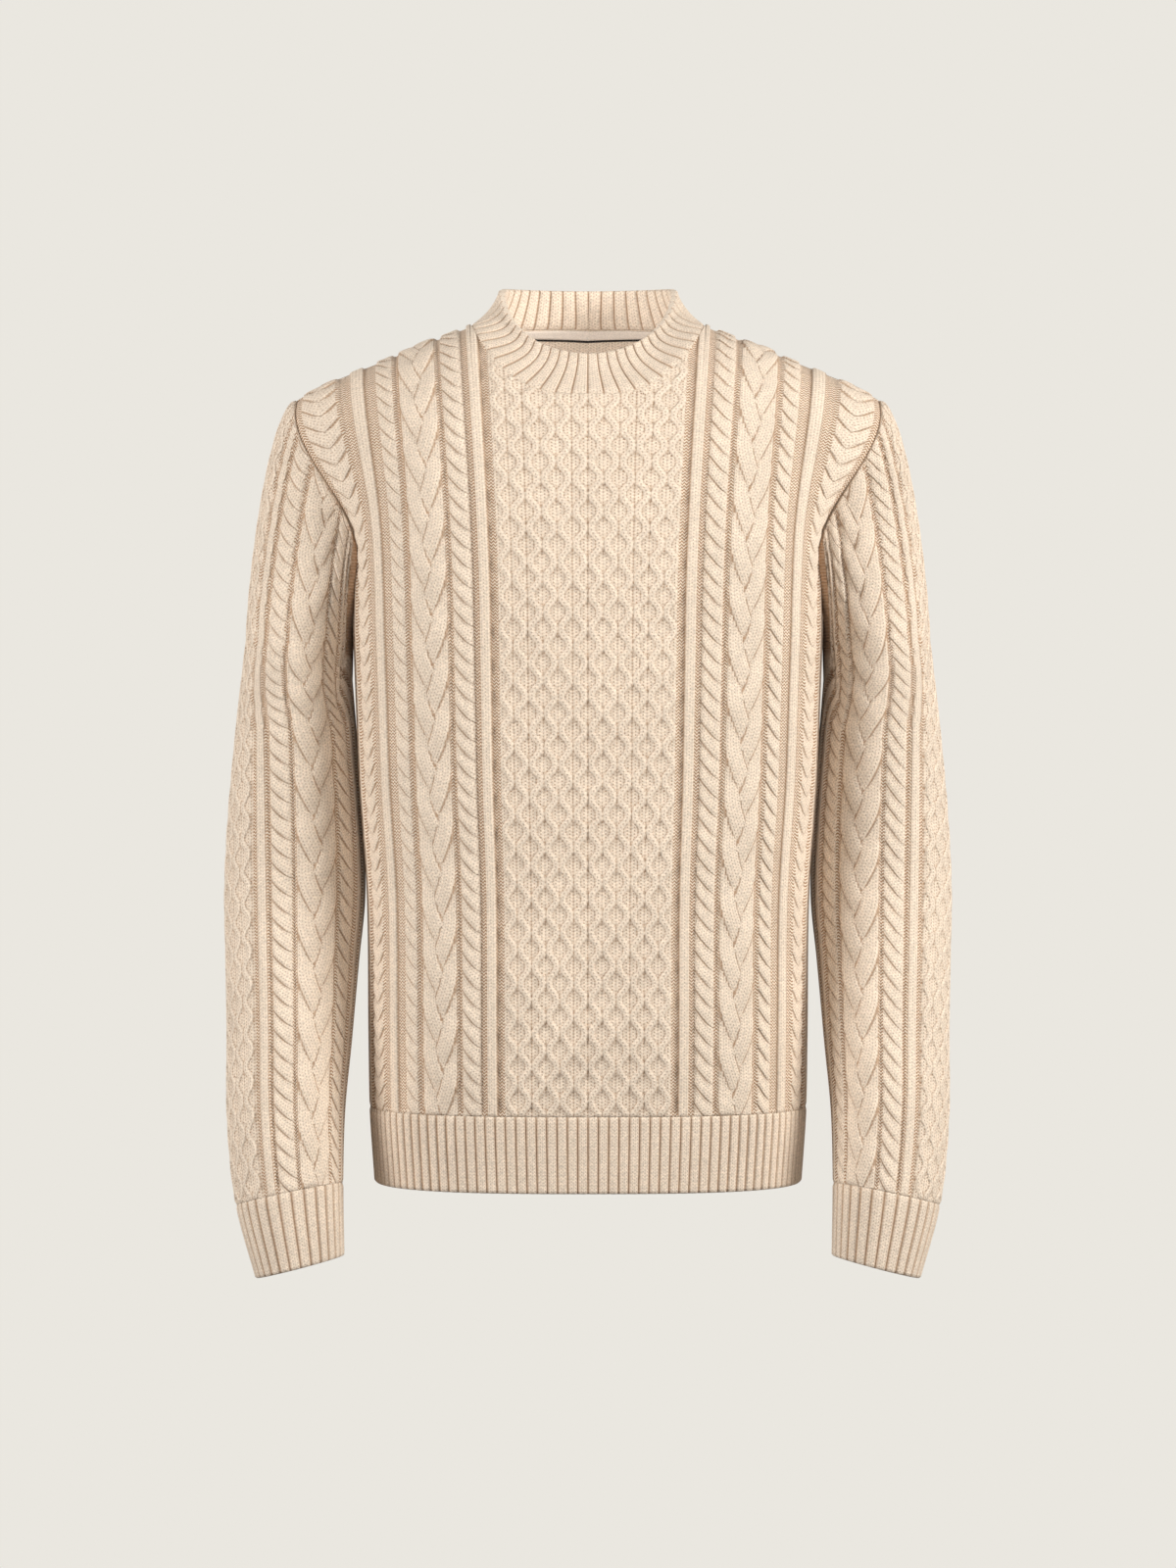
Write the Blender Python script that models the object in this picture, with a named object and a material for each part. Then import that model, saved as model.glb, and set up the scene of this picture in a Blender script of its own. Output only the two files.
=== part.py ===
"""Cable knit crew-neck sweater, filled out as if worn.

Metres, +Z up, the front towards -Y, the wearer's left towards +X. The origin is the middle of the
neck, level with the inner ends of the shoulder seams. Each knitted piece is a wall: its outer side
carries the honeycomb, ropes, plaits and ribs, and its inner side is plain. A piece is laid out as
wales, lines that run up it, which stand at places ACROSS it and reach HEIGHTS along it.
"""

import bpy
import numpy as np

MM = 0.001
GAP = 0.3 * MM  # left between two pieces at a seam
BACKING = 4.0 * MM  # from the mean outer face in to the plain inner face
EDGE_FADE = 7.0 * MM  # relief dies out this far from a seam
ROW_MARGIN = 4.0 * MM  # no row of points lies nearer than this to a seam or to its nearest row

# The body of the sweater.
HEM_SEAM = -0.6165
HEM_EDGE = -0.6765
UNDERARM = -0.235
BODY_SQUARENESS = 2.7
SHOULDER_SQUARENESS = 2.5
BODY = np.array(
    # height, half width, front depth, back depth
    [
        (HEM_EDGE, 0.1705, 0.116, 0.108),
        (HEM_SEAM, 0.1745, 0.121, 0.113),
        (-0.560, 0.1755, 0.126, 0.117),
        (-0.440, 0.1772, 0.127, 0.119),
        (-0.360, 0.183, 0.129, 0.122),
        (-0.285, 0.186, 0.131, 0.125),
        (UNDERARM, 0.188, 0.131, 0.126),
    ]
)
ARMHOLE_ACROSS = 0.215  # the cloth's half width at the armholes
SIDE_ACROSS = 0.266  # the cloth's half width below them
ARMHOLE_CURVE = 0.070  # height of the armhole's lower curve
SHOULDER_SPREAD = np.array(
    # across, distance from the middle on the shoulder line
    [(0.0, 0.0), (0.036, 0.043), (0.072, 0.0855), (0.086, 0.1005), (0.177, 0.189), (0.215, 0.235), (0.260, 0.280)]
)
ARMHOLE_SPREAD = (0.3, 0.95)  # shares of the way up between which the armhole's wales spread out
NECK_HALF = 0.0945
SHOULDER_TOP = 0.0468
SHOULDER_SLOPE = 0.396
SHOULDER_TIP = 0.2  # beyond this far from the middle the shoulder line drops faster
FRONT_NECK = -0.0565  # the neck seam's height at the middle of the front
BACK_NECK = 0.018
FRONT_NECK_POWER = 3.1  # of the curve that the seam rises on towards the shoulder
BACK_NECK_POWER = 2.1

# The sleeves, for the wearer's left one.
SLEEVE = np.array(
    # height, outer x, inner x, y of the middle, half depth, turn to the front in degrees, and the
    # ring's lean inwards and forwards, going down
    [
        (-0.740, 0.2605, 0.1911, -0.075, 0.039, 18.0, 14.5, 4.0),
        (-0.682, 0.2775, 0.1930, -0.063, 0.049, 18.0, 12.0, 7.0),
        (-0.620, 0.2850, 0.1930, -0.050, 0.052, 16.0, 5.0, 10.0),
        (-0.560, 0.2865, 0.1885, -0.035, 0.0535, 13.0, 0.0, 12.0),
        (-0.497, 0.2890, 0.1837, -0.020, 0.054, 10.0, 0.0, 12.0),
        (-0.450, 0.2910, 0.1797, -0.010, 0.054, 8.0, 0.0, 10.0),
        (-0.404, 0.2900, 0.1809, -0.004, 0.0565, 7.0, 0.0, 5.0),
        (-0.325, 0.2835, 0.1866, 0.000, 0.0615, 4.0, -2.0, 1.4),
        (-0.245, 0.2745, 0.1930, 0.000, 0.066, 0.0, -2.0, 0.0),
    ]
)
CUFF_SEAM = -0.682
CUFF_EDGE = -0.738
SLEEVE_ACROSS = 0.172
CAP_DIP = 0.030  # the cap's lower edge is this much lower at the underarm
CAP_SHIFT = 0.045  # how far wales crowd towards the ends of the armhole's sides
CAP_LEAVE = 0.9  # how far the cap runs on straight from the sleeve, as a share of its own reach
CAP_ARRIVE = 0.35  # and how far it runs straight off the armhole's seam

# The neckband.
BAND_HALF = 0.071
BAND_FRONT = 0.085
BAND_BACK = 0.057
BAND_SIDE_HEIGHT = 0.038
BAND_TILT = 0.41  # rise of its edge towards the back
BAND_SAG = 0.35  # drop of its edge towards the front and the back
BAND_ROUND = 0.015  # rounds off the top of that drop at the sides
BAND_FLARE = 0.15  # lean of its edge in towards the neck
BAND_LEAVE = 0.35  # how far it runs on straight from the cloth, as a share of its own reach
BAND_RIBS = 50

HEM_RIBS = 124
CUFF_RIBS = 28

# Relief, from the mean outer face.
RING = 1.4 * MM
PIT = -1.4 * MM
ROPE = 2.2 * MM
ROPE_VALLEY = -0.5 * MM
PLAIT = 2.2 * MM
PLAIT_VALLEY = -0.4 * MM
GROOVE = -1.5 * MM
RIB = 0.9 * MM
BAND_RIB = 1.2 * MM

ROPE_PITCH = 15.4 * MM  # from one crossing to the next
PLAIT_PITCH = 41.0 * MM
RING_HALF = 13.4 * MM  # half the height of a honeycomb ring
ROPE_LEAN = 0.6 * ROPE_PITCH
PLAIT_LEAN = 0.25 * PLAIT_PITCH
PLAIT_STRANDS = 0.28  # its outer strands' middles from its own middle, as a share of its width

# Stitch plans: column, width in mm, from the middle of the piece to its side.
BODY_PLAN = (
    ("honeycomb", 72.0), ("purl", 5.0), ("rib", 9.0), ("purl", 4.5), ("rope", 17.0),
    ("groove", 3.5), ("plait", 36.0), ("groove", 3.5), ("rope", 17.0), ("purl", 5.5),
    ("rib", 9.0), ("purl", 6.0), ("double rope", 22.0), ("margin", 5.0),
)  # fmt: skip
SLEEVE_PLAN = (
    ("honeycomb", 48.0), ("purl", 4.0), ("rib", 9.0), ("purl", 4.0), ("rope", 16.0),
    ("groove", 3.0), ("plait", 34.0), ("groove", 3.0), ("rope", 16.0), ("purl", 5.0),
    ("rib", 8.0), ("purl", 4.0),
)  # fmt: skip
RING_WIDTH = 12.0  # mm, one column of honeycomb rings


def read(table, column, at):
    """A smooth curve through a table's rows, read at values of its first column."""
    keys = table[:, 0]
    values = table[:, column]
    slopes = np.gradient(values, keys)
    at = np.clip(at, keys[0], keys[-1])
    row = np.clip(np.searchsorted(keys, at) - 1, 0, len(keys) - 2)
    span = keys[row + 1] - keys[row]
    part = (at - keys[row]) / span
    return hermite(values[row], slopes[row] * span, values[row + 1], slopes[row + 1] * span, part)


def hermite(start, leave, end, arrive, part):
    square = part * part
    cube = square * part
    return (
        start * (2 * cube - 3 * square + 1)
        + leave * (cube - 2 * square + part)
        + end * (3 * square - 2 * cube)
        + arrive * (cube - square)
    )


def smoothstep(value):
    value = np.clip(value, 0.0, 1.0)
    return value * value * (3 - 2 * value)


def unit(vectors):
    return vectors / np.linalg.norm(vectors, axis=-1, keepdims=True)


def squarish(angle, squareness):
    """A rounded square of half width 1, at an angle from its first axis."""
    first = np.cos(angle)
    second = np.sin(angle)
    reach = (np.abs(first) ** squareness + np.abs(second) ** squareness) ** (-1 / squareness)
    return first * reach, second * reach


def quarter_by_length():
    """Angles round a quarter of the body, and the share of the cloth that lies before each."""
    angle = np.linspace(0.0, np.pi / 2, 721)
    deep, wide = squarish(angle, BODY_SQUARENESS)
    deep = deep * read(BODY, 2, -0.40)
    wide = wide * read(BODY, 1, -0.40)
    run = np.concatenate([[0.0], np.cumsum(np.hypot(np.diff(deep), np.diff(wide)))])
    return angle, run / run[-1]


QUARTER_ANGLE, QUARTER_SHARE = quarter_by_length()


def shoulder_height(x):
    past_tip = np.clip((x - SHOULDER_TIP) / (35 * MM), 0, 1.5)
    return SHOULDER_TOP - SHOULDER_SLOPE * x - 4 * MM * past_tip**2


def neck_height(x, side):
    """The neck seam's height on the front (side -1) or back (side 1), and none past its ends."""
    end = shoulder_height(NECK_HALF)
    middle, power = (FRONT_NECK, FRONT_NECK_POWER) if side < 0 else (BACK_NECK, BACK_NECK_POWER)
    share = np.abs(x) / NECK_HALF
    return np.where(share < 1, middle + (end - middle) * np.minimum(share, 1) ** power, 9.0)


def body_path(side, across, low=60, high=90):
    """Wales of the front (side -1) or back (side 1). Across runs to the right, seen from outside."""
    across = np.asarray(across)[:, None]
    distance = np.abs(across)
    share = distance / SIDE_ACROSS
    beyond = np.where(share > 1, -1.0, 1.0)
    angle = np.interp(np.where(share > 1, 2 - share, share), QUARTER_SHARE, QUARTER_ANGLE)
    deep, wide = squarish(angle, BODY_SQUARENESS)
    level = np.linspace(HEM_SEAM, UNDERARM, low)[None, :]
    lower_x = read(BODY, 1, level) * wide
    lower_y = read(BODY, 2 if side < 0 else 3, level) * deep * beyond
    start_x = lower_x[:, -1:]
    start_y = lower_y[:, -1:]
    end_x = read(SHOULDER_SPREAD, 1, distance)
    turn = np.linspace(0.0, np.pi / 2, high)[None, 1:]
    inwards, upwards = squarish(turn, SHOULDER_SQUARENESS)
    # Wales spread out evenly as they rise, but one near the armhole does so in its upper part.
    edge_share = np.minimum(distance / ARMHOLE_ACROSS, 1.0) ** 4
    late = smoothstep((upwards - ARMHOLE_SPREAD[0]) / (ARMHOLE_SPREAD[1] - ARMHOLE_SPREAD[0]))
    spread = upwards**1.5 * (1 - edge_share) + late * edge_share
    upper_x = start_x + (end_x - start_x) * spread
    upper_y = start_y * inwards
    upper_z = UNDERARM + (shoulder_height(end_x) - UNDERARM) * upwards
    x = np.concatenate([lower_x, upper_x], axis=1) * np.sign(across) * -side
    y = np.concatenate([lower_y, upper_y], axis=1) * side
    z = np.concatenate([np.broadcast_to(level, lower_x.shape), upper_z], axis=1)
    return np.stack([x, y, z], axis=2)


class Cloth:
    """A piece's mean outer face as wales, each a row of points from its lower edge up."""

    def __init__(self, path, across, step=0.5 * MM):
        self.across = np.asarray(across, float)
        self.points = path(self.across)
        sideways = path(self.across + step) - path(self.across - step)
        self.normals = unit(np.cross(sideways, np.gradient(self.points, axis=1)))
        runs = np.linalg.norm(np.diff(self.points, axis=1), axis=2)
        self.heights = np.concatenate([np.zeros((len(self.across), 1)), np.cumsum(runs, axis=1)], axis=1)
        self.tops = self.heights[:, -1].copy()

    def cut(self, wale, excess):
        """Ends a wale where excess, a value for each of its points, first passes zero."""
        over = np.nonzero(excess >= 0)[0]
        if len(over) and over[0] > 0:
            after = over[0]
            share = -excess[after - 1] / (excess[after] - excess[after - 1])
            run = self.heights[wale]
            self.tops[wale] = run[after - 1] + share * (run[after] - run[after - 1])

    def height_at_level(self, wale, level):
        return float(np.interp(level, self.points[wale, :, 2], self.heights[wale]))

    def square_end(self, end, axis):
        """Makes an end's normals square to an axis, so that its edge is flat."""
        edge = self.normals[:, end]
        self.normals[:, end] = unit(edge - axis * (edge @ axis)[:, None])

    def at(self, wale, height, relief=0.0):
        run = self.heights[wale]
        point = np.array([np.interp(height, run, self.points[wale, :, axis]) for axis in range(3)])
        normal = np.array([np.interp(height, run, self.normals[wale, :, axis]) for axis in range(3)])
        return point + unit(normal) * relief


class Wale:
    """Where a line of the mesh stands, the heights and relief along it, and its lean to the left."""

    def __init__(self, across, marks, lean=0.0):
        self.across = across
        self.marks = marks
        self.lean = lean


class Wall:
    """The points and triangles of one knitted piece."""

    def __init__(self, name):
        self.name = name
        self.points = []
        self.faces = []

    def run(self, positions, keys, reliefs):
        """Adds a line of points, each kept with the key that orders it and its relief."""
        first = len(self.points)
        self.points.extend(positions)
        return [(first + n, key, relief) for n, (key, relief) in enumerate(zip(keys, reliefs))]

    def zip(self, left, right, lean=0.0):
        """Fills the strip between two lines. On a tie the new edge joins the higher points."""
        i = j = 0
        while i < len(left) - 1 or j < len(right) - 1:
            if i == len(left) - 1:
                up_left = False
            elif j == len(right) - 1:
                up_left = True
            else:
                ahead = right[j + 1][1] + lean - left[i + 1][1]
                joined_left = left[i + 1][2] + right[j][2]
                joined_right = left[i][2] + right[j + 1][2]
                up_left = joined_left >= joined_right if abs(ahead) < 0.2 * MM else ahead > 0
            if up_left:
                self.faces.append((left[i][0], right[j][0], left[i + 1][0]))
                i += 1
            else:
                self.faces.append((left[i][0], right[j][0], right[j + 1][0]))
                j += 1

    def rim(self, outer, inner):
        """Joins an edge of the outer side to the same edge of the inner side, by share of length."""
        self.zip_middles(self.by_share(outer), self.by_share(inner))

    def zip_middles(self, outer, inner):
        """Fills between two lines so that each point's fan is centred on it."""
        spans = [(line[-1][1] - line[0][1]) / (len(line) - 1) for line in (outer, inner)]
        self.zip(outer, inner, (spans[0] - spans[1]) / 2)

    def join_seams(self, seam_lines, seams):
        """Fills an edge sewn to seams, face for face like the edges they came from."""
        for n, seam in enumerate(seams):
            outer, inner = [
                [(entry[0], share, 0.0) for entry, share in zip(side[n], shares)]
                for side, shares in zip(seam_lines, (seam.outer_share, seam.inner_share))
            ]
            self.zip_middles(outer, inner)
            ends = []
            for side in seam_lines:
                here = max(side[n], key=lambda entry: entry[1])
                there = min(side[(n + 1) % len(seams)], key=lambda entry: entry[1])
                ends.append([(here[0], 0.0, 0.0), (there[0], 1.0, 0.0)])
            self.zip(*ends)

    def by_share(self, line):
        points = np.array([self.points[entry[0]] for entry in line])
        run = np.concatenate([[0.0], np.cumsum(np.linalg.norm(np.diff(points, axis=0), axis=1))])
        return [(entry[0], key, 0.0) for entry, key in zip(line, run / run[-1])]

    def build(self, colour, roughness, collection):
        mesh = bpy.data.meshes.new(self.name)
        mesh.from_pydata([tuple(point) for point in self.points], [], self.faces)
        mesh.validate()
        material = bpy.data.materials.new(self.name)
        material.use_nodes = True
        shader = material.node_tree.nodes["Principled BSDF"]
        shader.inputs["Base Color"].default_value = (*colour, 1.0)
        shader.inputs["Roughness"].default_value = roughness
        mesh.materials.append(material)
        mesh.shade_smooth()
        mesh.set_sharp_from_angle(angle=np.radians(50))
        collection.objects.link(bpy.data.objects.new(self.name, mesh))


def neck_across():
    """How far across the cloth the inner end of the shoulder seam lies."""
    across = np.linspace(0.0, ARMHOLE_ACROSS, 2151)
    return float(np.interp(NECK_HALF, read(SHOULDER_SPREAD, 1, across), across))


NECK_ACROSS = neck_across()
ROWS_BELOW = 65 * MM  # between the points of a plain wale, up to the underarm
ROWS_ABOVE = 26 * MM  # and above it
SIDE_STEPS = (9 * MM, 20 * MM, 34 * MM)  # wales between the armhole and the side seam
INNER_ACROSS = (0.0, 24 * MM, 48 * MM, 66 * MM, 76 * MM, NECK_ACROSS, 112 * MM, 150 * MM, 185 * MM)
SHORT_INNER = (24 * MM, 66 * MM, 76 * MM)  # inner wales with few points below the underarm
HINGE_START = 8.0  # degrees that an armhole seam is opened at the shoulder
HINGE_END = 165.0  # and at the underarm
HINGE_HELD = 0.2  # the share of the seam, from the shoulder, that keeps its first opening
TAPE_DEPTH = 10 * MM
TAPE_LIFT = 0.7 * MM  # the tape spans the inner side's flats, so it stands a little further off
TAPE_LINES = 5  # the inner wales, counted from the middle, that the neck tape follows


def plain_rows(relief, top=0.75):
    below = np.arange(1, 6) * ROWS_BELOW
    above = np.arange(below[-1] + ROWS_BELOW, top, ROWS_ABOVE)
    return [(height, relief) for height in np.concatenate([below, above])]


def cycle_rows(pitch, start, reliefs, top=0.75):
    """Rows that repeat reliefs, evenly over each pitch."""
    step = pitch / len(reliefs)
    count = int(top / step)
    return [((start % 1.0) * pitch + n * step, reliefs[n % len(reliefs)]) for n in range(-1, count)]


def rope_edge(across, lean_right):
    return Wale(across, cycle_rows(2 * ROPE_PITCH, 0.3 if lean_right else 0.2, (GROOVE,)))


def rope_middle(across, lean):
    return Wale(across, cycle_rows(ROPE_PITCH, 0.0, (ROPE_VALLEY, ROPE)), lean)


def column_wales(name, start, end, left_name, right_name):
    """The mesh lines of one column of the stitch plan."""
    middle = (start + end) / 2
    if name == "margin":
        return []
    if name == "honeycomb":
        count = round((end - start) / 2 / (RING_WIDTH * MM))
        return [
            Wale(n * RING_WIDTH * MM, cycle_rows(2 * RING_HALF, 0.0, (RING, PIT) if n % 2 else (PIT, RING)))
            if abs(n) < count
            else Wale(n * RING_WIDTH * MM, plain_rows(PIT / 2))
            for n in range(-count, count + 1)
        ]
    if name in ("purl", "groove"):
        roped = {"rope", "double rope"}
        if right_name in roped or left_name in roped:
            wale = rope_edge(middle, right_name in roped)
            if left_name in roped:
                wale.lean = ROPE_LEAN if left_name == "rope" else -ROPE_LEAN
            return [wale]
        return [Wale(middle, plain_rows(GROOVE))]
    if name == "rib":
        return [Wale(start + 1 * MM, plain_rows(RIB)), Wale(end - 1 * MM, plain_rows(RIB))]
    if name == "rope":
        return [rope_middle(middle, ROPE_LEAN)]
    if name == "plait":
        third = (end - start) * PLAIT_STRANDS
        return [
            Wale(middle - third, cycle_rows(PLAIT_PITCH, 0.0, (PLAIT, PLAIT_VALLEY))),
            Wale(middle, cycle_rows(PLAIT_PITCH, 0.0, (PLAIT_VALLEY, PLAIT) * 2), PLAIT_LEAN),
            Wale(middle + third, cycle_rows(PLAIT_PITCH, 0.0, (PLAIT_VALLEY, PLAIT)), -PLAIT_LEAN),
        ]
    quarter = (end - start) / 4
    return [
        rope_middle(start + quarter, ROPE_LEAN),
        Wale(middle, cycle_rows(2 * ROPE_PITCH, 0.2, (GROOVE,)), ROPE_LEAN),
        rope_middle(end - quarter, -ROPE_LEAN),
    ]


def plan_wales(plan):
    """A stitch plan's mesh lines from left to right; the plan lists the right half."""
    half = []
    start = plan[0][1] * MM
    for name, width in plan[1:]:
        half.append((name, start, start + width * MM))
        start += width * MM
    columns = [(name, -end, -begin) for name, begin, end in reversed(half)]
    columns += [(plan[0][0], -plan[0][1] * MM, plan[0][1] * MM)] + half
    names = [None] + [column[0] for column in columns] + [None]
    wales = []
    for n, (name, begin, end) in enumerate(columns):
        wales += column_wales(name, begin, end, names[n], names[n + 2])
    return wales


def body_wales():
    wales = plan_wales(BODY_PLAN)
    for sign in (-1, 1):
        sides = [ARMHOLE_ACROSS] + [ARMHOLE_ACROSS + step for step in SIDE_STEPS] + [SIDE_ACROSS]
        wales += [Wale(sign * across, plain_rows(0.0)) for across in sides]
        near_neck = [NECK_ACROSS - 1.1 * MM, NECK_ACROSS - 0.3 * MM, NECK_ACROSS]
        wales += [Wale(sign * across, plain_rows(RIB)[3:]) for across in near_neck]
    return sorted(wales, key=lambda wale: wale.across)


def inner_wales():
    wales = []
    for across in INNER_ACROSS + (ARMHOLE_ACROSS, ARMHOLE_ACROSS + SIDE_STEPS[1], SIDE_ACROSS):
        rows = plain_rows(0.0)
        rows = rows[1:5:2] + rows[5:8:2] + rows[8:]
        if across in SHORT_INNER:
            rows = rows[3:]
        wales.append(Wale(across, rows))
        if across:
            wales.append(Wale(-across, rows))
    return sorted(wales, key=lambda wale: wale.across)


def armhole_level(distance):
    """Height of the armhole's lower curve, from the side seam in to the armhole's straight side."""
    share = np.clip((SIDE_ACROSS - distance) / (SIDE_ACROSS - ARMHOLE_ACROSS), 0.0, 1.0)
    return UNDERARM + ARMHOLE_CURVE * (1 - np.sqrt(1 - share**2))


def body_cloth(side, wales):
    """The cloth of the front or back, each wale ended at the neck, the shoulder or the armhole."""
    across = [wale.across for wale in wales]
    cloth = Cloth(lambda places: body_path(side, places), across)
    cloth.normals[:, 0, 2] = 0.0
    for n, place in enumerate(across):
        x, _, z = cloth.points[n].T
        if abs(place) < NECK_ACROSS - 0.01 * MM:
            cloth.cut(n, z - neck_height(x, side))
        elif abs(place) > ARMHOLE_ACROSS + 0.01 * MM:
            cloth.cut(n, z - armhole_level(abs(place)))
    return cloth


def lay(wall, cloth, wales, place, extra=(), open_top=False):
    """Adds every wale's points. A piece's edges carry no relief, and extra names more heights, from the top."""
    lines = []
    for n, wale in enumerate(wales):
        top = cloth.tops[n]
        clear = max(extra, default=0.0) + ROW_MARGIN
        marks = [mark for mark in wale.marks if ROW_MARGIN < mark[0] < top - clear]
        marks += [(top - below, 0.0) for below in extra]
        marks = [(0.0, 0.0)] + sorted(marks) + ([] if open_top else [(top, 0.0)])
        keys = [mark[0] for mark in marks]
        fade = [smoothstep(min(key, top - key) / EDGE_FADE) for key in keys]
        reliefs = [mark[1] * float(share) for mark, share in zip(marks, fade)]
        positions = [place(n, key, relief) for key, relief in zip(keys, reliefs)]
        lines.append(wall.run(positions, keys, reliefs))
    return lines


def index_at(wales, across):
    return min(range(len(wales)), key=lambda n: abs(wales[n].across - across))


def panel_side(wall, cloth, wales, side, lift):
    """One side of the front or back: its strips, and its edges as lines of points."""

    def place(n, key, relief):
        point = cloth.at(n, key, relief + lift)
        point[1] = side * max(side * point[1], GAP / 2)
        point[2] = max(point[2], HEM_SEAM)
        return point

    arm = [index_at(wales, sign * ARMHOLE_ACROSS) for sign in (-1, 1)]
    turn_level = UNDERARM + ARMHOLE_CURVE
    turns = {n: cloth.height_at_level(n, turn_level) for n in arm}
    for n in arm:
        kept = [mark for mark in wales[n].marks if abs(mark[0] - turns[n]) > 6 * MM]
        wales[n].marks = sorted(kept + [(turns[n], 0.0)])
    lines = lay(wall, cloth, wales, place, (TAPE_DEPTH + ROW_MARGIN,) if lift else ())
    for n in range(len(lines) - 1):
        left = lines[n]
        right = lines[n + 1]
        if n == arm[1]:
            left = [entry for entry in left if entry[1] <= turns[n] + 0.01 * MM]
        if n + 1 == arm[0]:
            right = [entry for entry in right if entry[1] <= turns[n + 1] + 0.01 * MM]
        wall.zip(left, right, wales[n + 1].lean)
    neck = [index_at(wales, sign * NECK_ACROSS) for sign in (-1, 1)]
    tops = [line[-1] for line in lines]
    upper = [[entry for entry in lines[n] if entry[1] >= turns[n] - 0.01 * MM] for n in arm]
    return {
        "hem": [line[0] for line in lines],
        "left side": lines[0],
        "right side": lines[-1],
        "left arm": upper[0][::-1] + tops[: arm[0]][::-1],
        "right arm": upper[1][::-1] + tops[arm[1] + 1 :],
        "left shoulder": tops[arm[0] : neck[0] + 1],
        "right shoulder": tops[neck[1] : arm[1] + 1],
        "neck": tops[neck[0] : neck[1] + 1],
    }


def body_panel(name, side):
    """The front (side -1) or back (side 1), and its edges as pairs of outer and inner points."""
    wall = Wall(name)
    outer_wales = body_wales()
    inner = inner_wales()
    outer_edges = panel_side(wall, body_cloth(side, outer_wales), outer_wales, side, 0.0)
    inner_edges = panel_side(wall, body_cloth(side, inner), inner, side, -BACKING)
    points = np.array(wall.points)
    edges = {}
    for edge, outer_line in outer_edges.items():
        wall.rim(outer_line, inner_edges[edge])
        edges[edge] = [points[[entry[0] for entry in line]] for line in (outer_line, inner_edges[edge])]
    return wall, edges


class Seam:
    """An edge that another piece is sewn to, in order, with the direction that leads off it.

    A hinged seam is edge to edge at its start, and turns so that its end lies face to face.
    """

    def __init__(self, outer, inner, turned=False, hinged=False):
        self.outer_share, self.length = share_of_length(outer)
        self.inner_share = share_of_length(inner)[0]
        wall = unit(outer - along(inner, self.inner_share, self.outer_share))
        run = np.gradient(outer, axis=0)
        run[[0, -1]] *= (0.0, 1.0, 0.0)
        off = unit(np.cross(wall, run)) * (-1 if turned else 1)
        turned_share = smoothstep((self.outer_share - HINGE_HELD) / (1 - HINGE_HELD))
        opened = HINGE_START + (HINGE_END - HINGE_START) * turned_share
        opened = np.radians(opened * hinged)[:, None]
        self.away = off * np.cos(opened) + wall * np.sin(opened)
        self.outer = outer + GAP * (off * np.cos(opened / 2) + wall * np.sin(opened / 2))
        self.inner = inner + self.direction(self.inner_share) * GAP

    def direction(self, share):
        return unit(along(self.away, self.outer_share, share))

    def outer_at(self, share):
        return along(self.outer, self.outer_share, share)


def share_of_length(line):
    run = np.concatenate([[0.0], np.cumsum(np.linalg.norm(np.diff(line, axis=0), axis=1))])
    return run / run[-1], run[-1]


def along(line, shares, at):
    return np.stack([np.interp(at, shares, line[:, axis]) for axis in range(3)], axis=-1)


def closed_piece(lines, groups, whole, sewn_end=None, parts=(), inner_sewn=True):
    """Fills a closed piece between its wales, outer and inner. One end may lie on seams.

    Whole is once round the piece, on the scale that the wales' places are on. Parts are the seams in
    order round it, as (seam, keys): keys turns a share of the seam's length into such a place.
    """
    wall, outer_lines, inner_lines = lines
    sides = []
    for side_lines, wales in ((outer_lines, groups[0]), (inner_lines, groups[1])):
        around = side_lines + [side_lines[0]]
        for n in range(len(side_lines)):
            wall.zip(around[n], around[n + 1], wales[(n + 1) % len(wales)].lean)
        sides.append(around)
    for end in (0, -1):
        if end != sewn_end:
            rims = []
            for around, wales in zip(sides, groups):
                places = [wale.across for wale in wales] + [wales[0].across + whole]
                rims.append([(line[end][0], place, 0.0) for line, place in zip(around, places)])
            wall.zip_middles(*rims)
    if parts:
        seam_lines = []
        kinds = ("outer", "inner") if inner_sewn else ("outer",)
        for kind, around, wales in zip(kinds, sides, groups):
            places = [wale.across for wale in wales] + [wales[0].across + whole]
            row = [(line[sewn_end][0], place, 0.0) for line, place in zip(around, places)]
            ring = []
            seam_lines.append([])
            for seam, keys in parts:
                points = getattr(seam, kind)
                line = wall.run(points, keys(getattr(seam, kind + "_share")), np.zeros(len(points)))
                seam_lines[-1].append(line)
                ring += sorted(line, key=lambda entry: entry[1])
            ring.append((ring[0][0], ring[0][1] + whole, 0.0))
            wall.zip(row, ring)
        if inner_sewn:
            wall.join_seams(seam_lines, [seam for seam, _ in parts])
        else:
            places = [wale.across for wale in groups[1]] + [groups[1][0].across + whole]
            wall.zip_middles(ring, [(line[sewn_end][0], place, 0.0) for line, place in zip(sides[1], places)])
    return wall


def around_ellipse(share, wide, deep, turn):
    """The angle at a share of half the way round an ellipse, from an angle of turn, by length."""
    skew = (deep - wide) / (deep + wide)
    target = np.pi * share + turn + skew / 2 * np.sin(2 * turn)
    angle = target
    for _ in range(5):
        angle = target - skew / 2 * np.sin(2 * angle)
    return angle


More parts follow.
